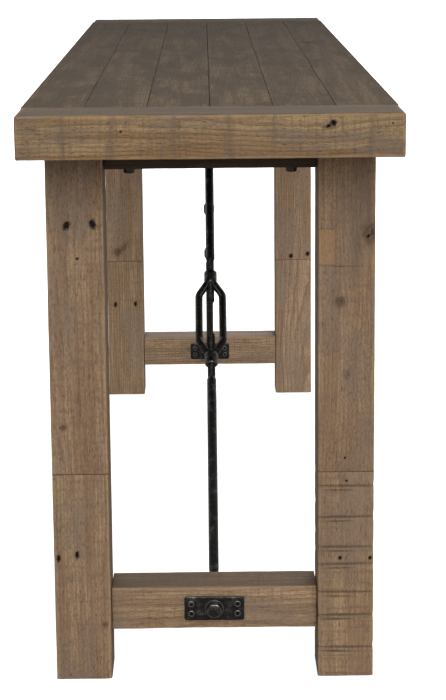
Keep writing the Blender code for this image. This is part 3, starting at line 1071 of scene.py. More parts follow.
IRON = BlackenedIron("blackened_forged_iron")
FASTENER = BlackenedIron(
    "rubbed_iron", black="#3a3a3a", wear_and_highlight="#8c8c88", relief=0.00015, roughness=(0.16, 0.30),
    metallic=0.9,
)
# Nail iron: a darker black than the rest, which darkens the hollow of each head as painted shade,
# and a light rim that is a painted highlight with some wear.
NAIL = BlackenedIron(
    "nail_iron_painted_rim", black="#1f1f1f", wear_and_highlight="#767672", relief=0.0002,
    roughness=(0.26, 0.42), metallic=0.9,
)


# ---------------------------------------------------------------- timber


@dataclass
class Timber:
    """One sawn plank or block, from the box of its plain solid to the finished piece."""

    node: str
    grain: Axis
    finish: WeatheredPine
    slot: Slot
    seed: int
    start: float | None = None  # where it starts along its grain, if not as its solid does
    end: float | None = None
    arris: float = 0.0018
    end_arris: float | None = None  # at ends that are joined and sanded flush
    corner: float = 0.0  # rounding of the outer corners, seen from above
    wear: float = 0.0010  # how deep the arrises are worn at most
    wear_reach: float = 0.007
    hollow: float = 0.0006  # unevenness of the faces
    pitch: float = 0.0055
    sunk: float = 0.0  # how far the upper face lies below the box
    marks: tuple[Mark, ...] = ()
    saw_bands: tuple[float, ...] = ()
    band_reach: float = 0.007
    band_depth: float = 0.0016

    def __post_init__(self) -> None:
        """Names the timber, and takes its corners from its solid."""
        self.name = f"{self.node}_timber"
        self.low, self.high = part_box(self.node)
        if self.start is not None:
            self.low[self.grain.value] = self.start
        if self.end is not None:
            self.high[self.grain.value] = self.end

    @property
    def centre(self) -> Vector:
        """The middle of the timber."""
        return (self.low + self.high) / 2

    @property
    def scatter(self) -> Vector:
        """Where in the endless pattern of the wood this timber was cut."""
        return Vector((1.37 * self.seed + 0.31, 0.73 * self.seed + 0.17, 0.59 * self.seed + 0.05))

    @property
    def heart(self) -> Vector:
        """The way from the log's heart to the middle of the timber, the grain along X.

        Returns:
            The vector.
        """
        angle = 2.4 * self.seed + 0.6
        distance = 0.055 + 0.012 * (self.seed % 4)
        return Vector((0.0, distance * math.cos(angle), distance * math.sin(angle)))

    def grain_matrix(self) -> Matrix:
        """The turn that takes the grain to X.

        Returns:
            The matrix.
        """
        return {
            Axis.X: Matrix.Identity(4),
            Axis.Y: Matrix.Rotation(-math.pi / 2, 4, "Z"),
            Axis.Z: Matrix.Rotation(math.pi / 2, 4, "Y"),
        }[self.grain]

    def build(self) -> Piece:
        """Models the timber, cuts its holes and dresses it.

        Returns:
            The finished piece.
        """
        obj = add_block(self.name, self.low, self.high - Vector((0, 0, self.sunk)))
        if self.corner:
            bevel_edges(obj, self.corner, 4, self.is_outer_corner)
        if self.end_arris is None:
            bevel_edges(obj, self.arris, 3, is_corner)
        else:
            bevel_edges(obj, self.arris, 3, lambda edge: runs_along(edge, self.grain))
            bevel_edges(obj, self.end_arris, 2, self.is_end_edge)
        for axis in Axis:
            subdivide_along(obj, axis, self.pitch * (1.6 if axis is self.grain else 1.0))
        self.wear_down(obj)
        for mark in self.marks:
            if mark.trace in (Trace.NAIL_HOLE, Trace.PIN_HOLE, Trace.LOST_KNOT):
                combine(obj, "DIFFERENCE", self.hole(mark))
        return settle(obj, self.finish.dress(self), self.slot, self.node)

    def is_outer_corner(self, edge: bmesh.types.BMEdge) -> bool:
        """Whether an upright edge is on the side away from the middle of the table."""
        outermost = max(abs(self.low.x), abs(self.high.x))
        return runs_along(edge, Axis.Z) and abs(abs(edge.verts[0].co.x) - outermost) < SQUARE

    def is_end_edge(self, edge: bmesh.types.BMEdge) -> bool:
        """Whether an edge goes round an end of the timber.

        Args:
            edge: the edge.

        Returns:
            True if it does.
        """
        along = self.grain.value
        ends = (self.low[along], self.high[along])
        return any(all(abs(v.co[along] - end) < SQUARE for v in edge.verts) for end in ends)

    def wear_down(self, obj: Piece) -> None:
        """Gives the faces slight hollows along the grain and wears the arrises unevenly.

        Args:
            obj: the sliced block.
        """
        stretch, short = (
            Vector([along if axis is self.grain else 1.0 for axis in Axis]) for along in (6.0, 2.5)
        )
        rough_surface(obj, self.hollow, 0.028, stretch, detail=3)
        weight_vertices(obj, "arris", self.nearness_to_arris)
        rough_surface(obj, self.wear, 0.012, short, group="arris", detail=2)
        if self.saw_bands:
            weight_vertices(obj, "saw", self.nearness_to_band)
            rough_surface(obj, self.band_depth, 0.010, Vector((1, 3, 1)), group="saw", detail=2)

    def nearness_to_arris(self, point: Vector) -> float:
        """How near a point is to an arris: 1 on it and 0 further in than the wear reaches.

        Args:
            point: the point.

        Returns:
            The nearness, 0 to 1.
        """
        axes = range(3) if self.end_arris is None else self.grain.others
        inside = sorted(min(point[i] - self.low[i], self.high[i] - point[i]) for i in axes)
        return max(0.0, 1 - inside[1] / self.wear_reach) ** 1.5

    def nearness_to_band(self, point: Vector) -> float:
        """How near a point is to one of the heights that a saw stopped at."""
        nearest = min(abs(point.z - height) for height in self.saw_bands)
        return max(0.0, 1 - nearest / self.band_reach)

    def hole(self, mark: Mark) -> Piece:
        """Models what an old nail or a lost knot left, as the shape to cut away.

        Args:
            mark: the mark.

        Returns:
            The shape.
        """
        depth = 0.009 if mark.trace is Trace.NAIL_HOLE else 0.006
        ragged, taper = 0.14 * mark.radius, 0.55
        shape = add_round_bar("hole", mark.radius, -depth, depth, steps=12)
        bpy.ops.object.mode_set(mode="EDIT")
        bpy.ops.mesh.select_all(action="SELECT")
        bpy.ops.transform.vertex_random(offset=ragged, seed=self.seed + 1)
        bpy.ops.transform.resize(value=(1, mark.length, 1), center_override=(0, 0, 0))
        if select_faces(shape, lambda face: face.normal.z < -0.9):
            bpy.ops.transform.resize(value=(taper, taper, 1), center_override=(0, 0, -depth))
        bpy.ops.object.mode_set(mode="OBJECT")
        lean = Matrix.Rotation(-math.radians(mark.lean), 3, mark.face.vector)
        side = lean @ self.grain.vector
        return place(shape, axes_at(mark.centre(self.high), mark.face.vector, side))


# ---------------------------------------------------------------- top


@dataclass
class TableTop:
    """Six planks side by side, and a board across each end of them."""

    planks: int = 6
    tongue_half: Vector = field(default_factory=lambda: Vector((0, 0.006, 0.004)))
    tongue_depth: float = 0.028  # below the upper face
    # The top's colours are darker than the legs'. This is partly the wood's own tone and partly
    # painted shade on its upper face, which gets less light than the faces turned to the front. Its
    # faces that don't look up go back to the paler side tone.
    finish: WeatheredPine = WeatheredPine(
        "grey_waxed_pine", pale="#6f5e4a", tan="#60503e", late="#2f261c", grey="#4f4336",
        worn="#74664f", dirt_and_shade="#1d1815", far_darkness=0.86, side_tone_strength=0.75, ring_strength=0.30,
        fibre_strength=0.30, streak_strength=0.90, grit_strength=0.35, saw_strength=0.30,
        edge_dirt=0.15, dirt_width=0.0004, edge_wear=0.0, sheen=0.04, roughness=(0.72, 0.88),
    )
    # The end boards' faces that look up take the painted shade. The rear board takes it more
    # strongly and is coloured darker all over.
    board_finish: WeatheredPine = WeatheredPine(
        "worn_edge_pine", pale="#9a8262", tan="#86694b", late="#4e3c29", grey="#6f6156",
        worn="#a88c68", upward_shade="#3f3324", upward_shade_strength=0.72, fibre_strength=0.45, saw_pitch=0.0036,
        saw_strength=0.50, edge_dirt=0.25, edge_wear=0.45, sheen=0.10,
    )
    dark_board_finish: WeatheredPine = WeatheredPine(
        "dark_edge_pine", pale="#857056", tan="#776149", late="#4f3e2b", grey="#685b50",
        worn="#8c7558", upward_shade="#33291e", upward_shade_strength=0.90, saw_pitch=0.0036, saw_strength=0.50,
        edge_dirt=0.25, edge_wear=0.30, sheen=0.05,
    )
    front_marks: tuple[Mark, ...] = (
        Mark(Trace.LOST_KNOT, (0.1515, 0.7752), 0.0034, lean=20),
        Mark(Trace.LOST_KNOT, (0.1452, 0.7716), 0.0017, length=1.6, lean=-35),
        Mark(Trace.SMUDGE, (0.1470, 0.7720), 0.0075, length=1.5, lean=-35),
        Mark(Trace.PIN_HOLE, (-0.1100, 0.7667), 0.0014),
        Mark(Trace.SMUDGE, (-0.0385, 0.7730), 0.0034, length=1.5),
        Mark(Trace.SMUDGE, (0.0240, 0.7419), 0.0026),
        Mark(Trace.SMUDGE, (0.1774, 0.7416), 0.0028),
        Mark(Trace.PIN_HOLE, (0.2244, 0.7743), 0.0011),
        Mark(Trace.SMUDGE, (-0.2252, 0.7552), 0.0030),
        Mark(Trace.SMUDGE, (-0.2198, 0.7700), 0.0040, length=2.2),
        Mark(Trace.STREAK, (-0.1825, 0.7600), 0.0052, length=9.0, lean=88),
        Mark(Trace.STREAK, (-0.1224, 0.7560), 0.0065, length=8.0, lean=93),
        Mark(Trace.STREAK, (-0.0452, 0.7620), 0.0052, length=7.0, lean=90),
        Mark(Trace.STREAK, (0.0236, 0.7580), 0.0066, length=8.0, lean=86),
        Mark(Trace.STREAK, (0.0781, 0.7600), 0.0034, length=11.0, lean=91),
        Mark(Trace.STREAK, (0.1980, 0.7560), 0.0040, length=9.0, lean=94),
    )

    def build(self) -> None:
        """Models the planks and the end boards."""
        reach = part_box("end_board_front")[0].x - GAP
        for i in range(self.planks):
            node = f"top_plank_{i + 1}"
            low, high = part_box(node)
            high.x = reach
            plank = Timber(
                node, Axis.X, self.finish, Slot.TOP_WOOD, seed=3 * i + 2, start=-reach, end=reach,
                arris=0.0003, wear=0.0003, wear_reach=0.004, sunk=0.0002 * (i * 2 % 3),
                marks=self.plank_marks(i, low, high),
            ).build()
            if i + 1 < self.planks:
                self.build_loose_tongue(plank, i + 1, high)
        for end, finish, seed, marks in (
            ("front", self.board_finish, 31, self.front_marks),
            ("rear", self.dark_board_finish, 38, ()),
        ):
            Timber(
                f"end_board_{end}", Axis.Y, finish, Slot.TOP_WOOD, seed, corner=0.0045,
                arris=0.0022, wear=0.0014, pitch=0.0045, marks=marks,
            ).build()

    def build_loose_tongue(self, plank: Piece, number: int, corner: Vector) -> None:
        """Models the hidden tongue that shuts the joint beside a plank.

        Args:
            plank: the finished plank.
            number: counts the joints.
            corner: the plank's highest corner.
        """
        middle = Vector((0, corner.y, corner.z - self.tongue_depth))
        half = self.tongue_half + Vector((corner.x, 0, 0))
        tongue = add_block(f"loose_tongue_{number}", middle - half, middle + half)
        bevel_edges(tongue, 0.0008, 2, lambda edge: runs_along(edge, Axis.X))
        settle(tongue, plank.data.materials[0], Slot.TOP_WOOD)

    def plank_marks(self, index: int, low: Vector, high: Vector) -> tuple[Mark, ...]:
        """A knot in the upper face of every other plank.

        Args:
            index: which plank.
            low: its lowest corner.
            high: its highest corner.

        Returns:
            The marks.
        """
        if index % 2 == 0:
            return ()
        phase = 1.9 * index
        x = (0.30 + 0.42 * math.sin(phase)) * -high.x
        y = (low.y + high.y) / 2 + (high.y - low.y) / 4 * math.cos(2.3 * phase)
        return (Mark(Trace.KNOT, (x, y), 0.006 + 0.002 * (index % 3), 1.3, face=Axis.Z),)


# ---------------------------------------------------------------- end frames


@dataclass
class EndFrame:
    """Two legs of two blocks each, with a stretcher and a rail between them."""

    end: str
    sign: int
    leg_finish: WeatheredPine = WeatheredPine(
        "brushed_pine", pale="#9a7f62", tan="#8a6e53", late="#54402f", grey="#766455",
        ring_strength=0.42, fibre_strength=0.46, grit_strength=0.58,
    )
    # The upper face of the stretcher takes the painted shade.
    cross_finish: WeatheredPine = WeatheredPine(
        "sawn_pine", pale="#ab8f6e", tan="#93775a", late="#543f2d", grey="#7a6858",
        upward_shade="#4e3f30", upward_shade_strength=0.60, saw_pitch=0.0045, saw_strength=0.50,
    )
    sawn_leg_finish: WeatheredPine = WeatheredPine(
        "rough_sawn_pine", pale="#a08465", tan="#8d7155", late="#54402f", grey="#766455",
        ring_strength=0.30, fibre_strength=0.35, saw_pitch=0.0050, saw_strength=0.70,
    )
    # The rail is coloured a much darker brown than the legs.
    rail_finish: WeatheredPine = WeatheredPine(
        "dark_rail_pine", pale="#473623", tan="#3b2c1c", late="#281d13", grey="#33271b",
        worn="#473623",
    )
    end_arris: float = 0.0004
    marks: dict[str, tuple[Mark, ...]] = field(default_factory=dict)
    saw_bands: dict[str, tuple[float, ...]] = field(default_factory=dict)

    def build(self) -> None:
        """Models the timbers of this end and the bolts that hold it to the top."""
        for number, side in enumerate(("left", "right")):
            self.build_leg(side, 41 + 7 * number + 2 * self.sign)
        seed = 61 if self.sign > 0 else 67
        self.build_cross_member(f"stretcher_{self.end}", seed, self.cross_finish)
        self.build_cross_member(f"top_rail_{self.end}", seed + 3, self.rail_finish)
        for side in ("left", "right"):
            self.build_rail_bolt(side)

    def build_leg(self, side: str, seed: int) -> None:
        """Models a leg's lower and upper block.

        Args:
            side: left or right.
            seed: picks the wood.
        """
        leg = f"leg_{self.end}_{side}"
        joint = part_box(f"{leg}_upper")[0].z - GAP
        for number, (part, top) in enumerate((("lower", joint), ("upper", None))):
            node = f"{leg}_{part}"
            bands = self.saw_bands.get(node, ())
            Timber(
                node, Axis.Z, self.sawn_leg_finish if bands else self.leg_finish, Slot.LEG_WOOD,
                seed + number, end=top, end_arris=self.end_arris, marks=self.marks.get(node, ()),
                saw_bands=bands,
            ).build()

    def build_cross_member(self, node: str, seed: int, finish: WeatheredPine) -> None:
        """Models a timber that fits between the legs.

        Args:
            node: its plain solid.
            seed: picks the wood.
            finish: its finish.
        """
        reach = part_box(f"leg_{self.end}_right_lower")[0].y - GAP
        Timber(
            node, Axis.Y, finish, Slot.CROSS_WOOD, seed, start=-reach, end=reach,
            end_arris=self.end_arris,
        ).build()

    def build_rail_bolt(self, side: str) -> None:
        """Models a flanged bolt whose head shows under the rail.

        Args:
            side: left or right.
        """
        node = f"rail_bolt_{self.end}_{side}"
        low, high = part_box(node)
        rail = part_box(f"top_rail_{self.end}")[0].z
        flange, flange_height = (high.x - low.x) / 2, 0.0010
        reach, drop = high.z - rail, rail - low.z
        shank = 0.0040
        bolt = turned(f"{node}_forged", (
            (-0.0016, flange * 0.80),
            (-0.0012, flange * 0.97),
            (-0.0004, flange),
            (-GAP, flange * 0.98),
            (GAP, shank),
            (reach - 0.0010, shank),
            (reach, shank * 0.7),
        ))
        head = hexagon_head("head", 0.013, 0.0, drop - flange_height)
        place(head, axes_at((0, 0, -flange_height), (0, 0, -1), ACROSS))
        combine(bolt, "UNION", head)
        place(bolt, Matrix.Translation(((low.x + high.x) / 2, (low.y + high.y) / 2, rail)))
        settle(bolt, FASTENER.dress(), Slot.FASTENER, node)


# ---------------------------------------------------------------- iron

EAR_INNER, EAR_OUTER = 0.0048, 0.0088  # an ear's two faces, from the rod's middle plane
PIN_HOLE = 0.0053
BOLT_BORE = 0.0063
TIP_STEPS = 40


@dataclass
class Anchor:
    """What ties a rod's foot to a stretcher: two plates, nails, a bolt, a fork and its pin."""

    end: str
    sign: int
    plate_corner: float = 0.0036
    plate_edge: float = 0.0012
    dent_depth: float = 0.00035
    nail_hole: float = 0.0019
    nail_offsets: tuple[float, float] = (0.0315, 0.0068)
    nail_rim: float = 0.0046
    nail_head: float = 0.0014
    washer_edge: float = 0.0008
    bolt_flats: float = 0.018
    bolt_thread: float = 0.0060
    fork_base: float = 0.010

    def build(self) -> None:
        """Models every piece of the anchor."""
        for which in ("outer", "inner"):
            self.build_plate(which)
        self.build_nails()
        self.build_washer()
        self.build_bolt()
        self.build_fork()
        build_pin(f"fork_pin_{self.end}")

    @property
    def outward(self) -> Vector:
        """The way from the middle of the table to this end."""
        return Vector((self.sign, 0, 0))

    @property
    def height(self) -> float:
        """Height of the bolt's axis."""
        low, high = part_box(f"outer_plate_{self.end}")
        return (low.z + high.z) / 2

    def sides(self, node: str) -> tuple[float, float]:
        """Where a solid's inner and outer face lie along the table."""
        low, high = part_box(node)
        return (low.x, high.x) if self.sign > 0 else (high.x, low.x)

    def build_plate(self, which: str) -> None:
        """Models a forged plate with rounded corners and a dented face.

        Args:
            which: outer or inner.
        """
        node = f"{which}_plate_{self.end}"
        plate = add_block(f"{node}_forged", *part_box(node))
        bevel_edges(plate, self.plate_corner, 5, lambda edge: runs_along(edge, Axis.X))
        bevel_edges(plate, self.plate_edge, 2, is_corner)
        fuse(plate, 3)
        rough_surface(plate, self.dent_depth, 0.007, detail=1)
        y, z = self.nail_offsets
        nails = [(right * y, up * z, self.nail_hole) for right in (-1, 1) for up in (-1, 1)]
        for y, z, radius in (*nails, (0, 0, BOLT_BORE)):
            at = axes_at(middle_of(node) + Vector((0, y, z)), self.outward, ACROSS)
            drill(plate, radius, at, steps=20, start=-0.01, end=0.01)
        settle(plate, IRON.dress(), Slot.IRON, node)

    def build_nails(self) -> None:
        """Models eight nails with rolled rims, four through each plate."""
        rim, head, shank, length = self.nail_rim, self.nail_head, 0.0016, 0.024
        pattern = turned("nail", (
            (-length, 0.0003),
            (-length + 0.004, shank),
            (0.0, shank),
            (0.0001, rim * 0.94),
            (head * 0.5, rim),
            (head * 0.9, rim * 0.90),
            (head, rim * 0.78),
            (head * 0.9, rim * 0.62),
            (head * 0.12, rim * 0.54),
            (head * 0.08, rim * 0.20),
        ), steps=24)
        # The rolled rim is painted lighter: a painted highlight, with some wear.
        mark_wear_and_highlight(pattern, lambda point: 0.8 if math.hypot(point.x, point.y) > 0.57 * rim else 0.0)
        for number in range(4):
            node = f"plate_nail_{self.end}_{number + 1}"
            at = middle_of(node)
            at.x = self.sides(node)[1] - self.sign * head
            nail = place(copy_of(pattern, f"{node}_forged"), axes_at(at, self.outward, ACROSS))
            settle(nail, NAIL.dress(), Slot.FASTENER, node)

            at.x = self.sides(f"inner_plate_{self.end}")[0] - self.sign * GAP
            nail = copy_of(pattern, f"inner_plate_nail_{self.end}_{number + 1}")
            place(nail, axes_at(at, -self.outward, ACROSS))
            settle(nail, NAIL.dress(), Slot.FASTENER)
        bpy.data.objects.remove(pattern, do_unlink=True)

    def build_washer(self) -> None:
        """Models the washer under the bolt's head."""
        node = f"anchor_washer_{self.end}"
        low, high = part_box(node)
        thickness, radius, edge = high.x - low.x, (high.y - low.y) / 2, self.washer_edge
        washer = turned(f"{node}_forged", (
            (0, radius - edge),
            (edge, radius),
            (thickness - edge, radius),
            (thickness, radius - edge),
            (thickness, radius - 2 * edge),
        ), steps=48)
        drill(washer, BOLT_BORE, Matrix(), start=-0.01, end=0.01)
        rim = radius - 1.5 * edge
        # The outer edge is painted lighter: a painted highlight on the washer's rim.
        mark_wear_and_highlight(washer, lambda point: 0.6 if math.hypot(point.x, point.y) > rim else 0.0)
        place(washer, axes_at((self.sides(node)[0], 0, self.height), self.outward, ACROSS))
        settle(washer, IRON.dress(), Slot.IRON, node)

    def build_bolt(self) -> None:
        """Models the hexagonal bolt, its axis along the table, the corners of its head painted
        light as a highlight and as wrench wear.
        """
        node = f"anchor_bolt_{self.end}"
        foot, top = (self.sign * side for side in self.sides(node))
        under_head = self.sign * self.sides(f"anchor_washer_{self.end}")[1] + GAP
        length, head_height = under_head - foot, top - under_head
        thread, corner = self.bolt_thread, 0.0086
        bolt = hexagon_head(f"{node}_forged", self.bolt_flats, 0, head_height)
        stations = ((-length, thread * 0.8), (-length + 0.0012, thread), (head_height / 2, thread))
        combine(bolt, "UNION", turned("shank", stations))
        low_edge = 0.4 * head_height
        # The head's corners toward its outer face are painted light: a highlight, with wrench wear.
        mark_wear_and_highlight(bolt, lambda at: 0.95 if at.z > low_edge and at.xy.length > corner else 0.0)
        place(bolt, axes_at((self.sign * under_head, 0, self.height), self.outward, ACROSS))
        settle(bolt, FASTENER.dress(), Slot.FASTENER, node)

    def build_fork(self) -> None:
        """Models the fork: a square base and two ears that are round at their tips."""
        node = f"fork_{self.end}"
        low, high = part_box(node)
        pin = middle_of(f"fork_pin_{self.end}")
        ear_tip, outer_face = self.sides(node)
        base_face = outer_face - self.sign * self.fork_base
        start, end = sorted((base_face, outer_face))
        fork = add_block(f"{node}_forged", (start, low.y, low.z), (end, high.y, high.z))
        radius = abs(ear_tip - pin.x)
        start_x, end_x = sorted((pin.x, base_face + self.sign * self.fork_base / 2))
        for hand in (-1, 1):
            start_y, end_y = sorted((hand * EAR_INNER, hand * EAR_OUTER))
            corners = ((start_x, start_y, pin.z - radius), (end_x, end_y, pin.z + radius))
            tip = add_round_bar("tip", radius, start_y, end_y, steps=TIP_STEPS)
            place(tip, axes_at((pin.x, 0, pin.z), ACROSS, ALONG))
            combine(fork, "UNION", add_block("ear", *corners), tip)
        drill(fork, PIN_HOLE, axes_at((pin.x, 0, pin.z), ACROSS, ALONG))
        at = axes_at((outer_face, 0, self.height), -self.outward, ACROSS)
        drill(fork, BOLT_BORE, at, end=0.0095)
        break_edges(fork, 0.0007)
        settle(fork, IRON.dress(), Slot.IRON, node)


def build_pin(node: str) -> None:
    """Models a headed pin that lies across the table.

    Args:
        node: its plain solid.
    """
    low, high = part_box(node)
    head, head_height, radius = (high.z - low.z) / 2, 0.0030, 0.0050
    length = high.y - low.y
    pin = turned(f"{node}_forged", (
        (0, radius * 0.7),
        (0.0012, radius),
        (length - head_height, radius),
        (length - head_height + 0.0001, head * 0.96),
        (length - head_height * 0.75, head),
        (length - head_height * 0.3, head * 0.86),
        (length, head * 0.45),
    ))
    middle = middle_of(node)
    place(pin, axes_at((middle.x, low.y, middle.z), ACROSS, ALONG))
    settle(pin, FASTENER.dress(), Slot.FASTENER, node)


@dataclass
class TopBracket:
    """The plate under the middle of the top, with the two ears that both rods hang from."""

    thickness: float = 0.004
    corner: float = 0.006
    screw_hole: float = 0.0025

    def build(self) -> None:
        """Models the bracket, its screws and its pins."""
        low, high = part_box("top_bracket")
        plate_low = Vector((low.x, low.y, high.z - self.thickness))
        bracket = add_block("top_bracket_forged", plate_low, high)
        bevel_edges(bracket, self.corner, 5, lambda edge: runs_along(edge, Axis.Z))
        places = [middle_of(f"bracket_pin_{end}") for end, _ in ENDS]
        pins = [axes_at((at.x, 0, at.z), ACROSS, ALONG) for at in places]
        half, pin_height = places[0].x, places[0].z
        reach, top = pin_height - low.z, high.z - self.thickness / 2
        for hand in (-1, 1):
            start, end = sorted((hand * EAR_INNER, hand * EAR_OUTER))
            wide = half + reach
            webs = (
                add_block("web", (-half, start, low.z), (half, end, top)),
                add_block("web", (-wide, start, pin_height), (wide, end, top)),
            )
            combine(bracket, "UNION", *webs)
            for pin in pins:
                tip = add_round_bar("tip", reach, start, end, steps=TIP_STEPS)
                combine(bracket, "UNION", place(tip, pin))
        for pin in pins:
            drill(bracket, PIN_HOLE, pin)
        screws = [f"bracket_screw_{i + 1}" for i in range(4)]
        for node in screws:
            at = Matrix.Translation((*middle_of(node).xy, 0))
            drill(bracket, self.screw_hole, at, steps=20, start=low.z, end=high.z + 0.01)
        break_edges(bracket, 0.0006)
        settle(bracket, IRON.dress(), Slot.IRON, "top_bracket")
        for node in screws:
            self.build_screw(node)
        for end, _ in ENDS:
            build_pin(f"bracket_pin_{end}")

    def build_screw(self, node: str) -> None:
        """Models a wood screw with a domed, cross-slotted head, which points up.

        Args:
            node: its plain solid.
        """
        low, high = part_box(node)
        radius, head, shank = (high.x - low.x) / 2, 0.0026, 0.0022
        length = high.z - low.z
        screw = turned(f"{node}_forged", (
            (0, radius * 0.45),
            (head * 0.35, radius * 0.85),
            (head * 0.7, radius),
            (head, radius * 0.99),
            (head + 0.0001, shank),
            (length - 0.006, shank),
            (length, shank * 0.15),
        ), steps=24)
        slot_width, slot_length, slot_depth = 0.0010, 0.0052, 0.0012
        for long, wide in ((slot_length, slot_width), (slot_width, slot_length)):
            corner = Vector((long, wide, 2 * slot_depth)) / 2
            combine(screw, "DIFFERENCE", add_block("slot", -corner, corner))
        place(screw, Matrix.Translation((*middle_of(node).xy, low.z)))
        settle(screw, FASTENER.dress(), Slot.FASTENER, node)


# ---------------------------------------------------------------- tie rods


@dataclass
class TieRod:
    """A rod in two halves with an eye at each end, joined by a turnbuckle in the middle."""

    end: str
    quarter_turn: float
    rod_radius: float = 0.0071
    thread_radius: float = 0.0060
    thread_depth: float = 0.0009
    thread_pitch: float = 0.00175
    thread_end: float = 0.030  # from the turnbuckle's middle
    thread_shown: float = 0.023  # outside the collar
    eye_radius: float = 0.013
    eye_thickness: float = 0.009
    neck_length: float = 0.0265
    buckle_half: float = 0.0850
    collar_length: float = 0.021
    collar_radius: float = 0.0102
    elbow_half: float = 0.042
    elbow_reach: float = 0.005
    elbow_steps: int = 6
    bar_radius: float = 0.0060
    bar_offset: float = 0.0184
    bar_root: float = 0.0015
    bar_tilt: float = 0.1  # of one bar, so that the facets of the two bars differ

    def __post_init__(self) -> None:
        """Takes the rod's line from the turnbuckle's hinge."""
        name = f"{self.end}_turnbuckle_turn"
        joint = next(item for item in frame["joints"] if item["name"] == name)
        self.middle = Vector(joint["pos_m"])
        self.direction = Vector(joint["axis"]).normalized()

    def build(self) -> None:
        """Models both halves of the rod and the turnbuckle."""
        for part, pin, way in (("lower", "fork_pin", -1), ("upper", "bracket_pin", 1)):
            at = middle_of(f"{pin}_{self.end}")
            at.y = 0
            node = f"{part}_rod_{self.end}"
            rod = self.build_rod(f"{node}_forged", (at - self.middle).length)
            place(rod, axes_at(self.middle, way * self.direction, ACROSS))
            settle(rod, IRON.dress(), Slot.IRON, node)
        node = f"turnbuckle_{self.end}"
        buckle = self.build_turnbuckle(f"{node}_forged")
        place(buckle, Matrix.Rotation(self.quarter_turn, 4, "Z"))
        place(buckle, axes_at(self.middle, self.direction, ACROSS))
        settle(buckle, IRON.dress(), Slot.IRON, node, body=f"{self.end}_buckle")

    def build_rod(self, name: str, reach: float) -> Piece:
        """Models half a rod about Z, from its threaded end up to its eye.

        Args:
            name: the object's name.
            reach: the eye's distance from the turnbuckle's middle.

        Returns:
            The rod.
        """
        start, shoulder, ring = self.buckle_half + self.thread_shown, 0.003, 0.006
        neck = reach - self.neck_length
        count = round((neck - start) / ring)
        step = (neck + 0.004 - start - shoulder) / count
        stations = [(start, self.thread_radius)]
        stations += [(start + shoulder + i * step, self.rod_radius) for i in range(count + 1)]
        rod = turned(name, stations, steps=28)
        rough_surface(rod, 0.00012, 0.030, detail=1)
        return combine(rod, "UNION", self.eye(reach), self.thread(start + 0.001))

    def eye(self, reach: float) -> Piece:
        """Models the flattened eye and the neck that it is forged from.

        Args:
            reach: the eye's height.

        Returns:
            The eye, drilled for its pin.
        """
        half = self.eye_thickness / 2
        eye = add_round_bar("eye", self.eye_radius, -half, half, steps=48)
        place(eye, axes_at((0, 0, reach), ACROSS, ALONG))
        waist, tip = reach - 0.016, reach - 0.008
        neck = turned("neck", (
            (reach - self.neck_length, self.rod_radius),
            (reach - 0.022, self.rod_radius * 1.01),
            (waist, self.rod_radius * 1.08),
            (tip, self.rod_radius * 1.15),
        ))
        bpy.ops.object.mode_set(mode="EDIT")
        for height, squeeze in ((tip, 0.56), (waist, 0.74)):
            select_edges(neck, lambda edge: all(abs(v.co.z - height) < 1e-5 for v in edge.verts))
            bpy.ops.transform.resize(value=(1, squeeze, 1), center_override=(0, 0, height))
        bpy.ops.object.mode_set(mode="OBJECT")
        combine(eye, "UNION", neck)
        fuse(eye, 5)
        return drill(eye, PIN_HOLE, axes_at((0, 0, reach), ACROSS, ALONG))

    def thread(self, end: float) -> Piece:
        """Models a screw thread: a finely ringed bar whose rings are drawn in along a helix.

        Args:
            end: height where the thread stops.

        Returns:
            The threaded bar.
        """
        steps, rings_per_turn, chamfer = 24, 6, 0.001
        bar = add_round_bar("thread", self.thread_radius, self.thread_end, end, steps=steps)
        subdivide_along(bar, Axis.Z, self.thread_pitch / rings_per_turn)
        for vertex in bar.data.vertices:
            angle = math.atan2(vertex.co.y, vertex.co.x) / (2 * math.pi)
            phase = (vertex.co.z / self.thread_pitch - angle) % 1.0
            groove = 1 - abs(2 * phase - 1)
            lead_in = max(0.0, 1 - (vertex.co.z - self.thread_end) / chamfer)
            radius = self.thread_radius - self.thread_depth * max(groove, min(1.0, lead_in))
            vertex.co.xy *= radius / math.hypot(vertex.co.x, vertex.co.y)
        return bar

    def bar_line(self) -> list[Vector]:
        """The middle line of a side bar: out from a collar, straight, and in to the other one.

        Returns:
            Its points.
        """
        root = self.buckle_half - self.collar_length + self.bar_radius
        half = ((self.bar_root, root), (self.bar_offset, self.elbow_half))
        corners = [Vector((0, y, -z)) for y, z in half] + [Vector((0, y, z)) for y, z in half[::-1]]
        line = [corners[0]]
        for before, corner, after in zip(corners, corners[1:], corners[2:]):
            start = corner + (before - corner).normalized() * self.elbow_reach
            end = corner + (after - corner).normalized() * self.elbow_reach
            for i in range(self.elbow_steps + 1):
                share = i / self.elbow_steps
                line.append(start.lerp(corner, share).lerp(corner.lerp(end, share), share))
        return [*line, corners[-1]]

    def bar(self, hand: int) -> Piece:
        """Models one side bar as a swept round.

        Args:
            hand: -1 or 1, the side that it is on.

        Returns:
            The bar as a mesh.
        """
        line = self.bar_line()
        curve = bpy.data.curves.new("bar", "CURVE")
        curve.dimensions = "3D"
        curve.bevel_depth = self.bar_radius
        curve.bevel_resolution = 6
        curve.use_fill_caps = True
        spline = curve.splines.new("POLY")
        spline.points.add(len(line) - 1)
        for point, at in zip(spline.points, line):
            point.co = (at.x, hand * at.y, at.z, 1)
            point.tilt = self.bar_tilt if hand > 0 else 0.0
        bar = bpy.data.objects.new("bar", curve)
        bpy.context.scene.collection.objects.link(bar)
        take_hold(bar)
        bpy.ops.object.convert(target="MESH")
        bar = bpy.context.active_object
        bpy.ops.object.mode_set(mode="EDIT")
        bpy.ops.mesh.select_all(action="SELECT")
        bpy.ops.mesh.remove_doubles(threshold=1e-5)
        bpy.ops.mesh.normals_make_consistent(inside=False)
        bpy.ops.object.mode_set(mode="OBJECT")
        return bar

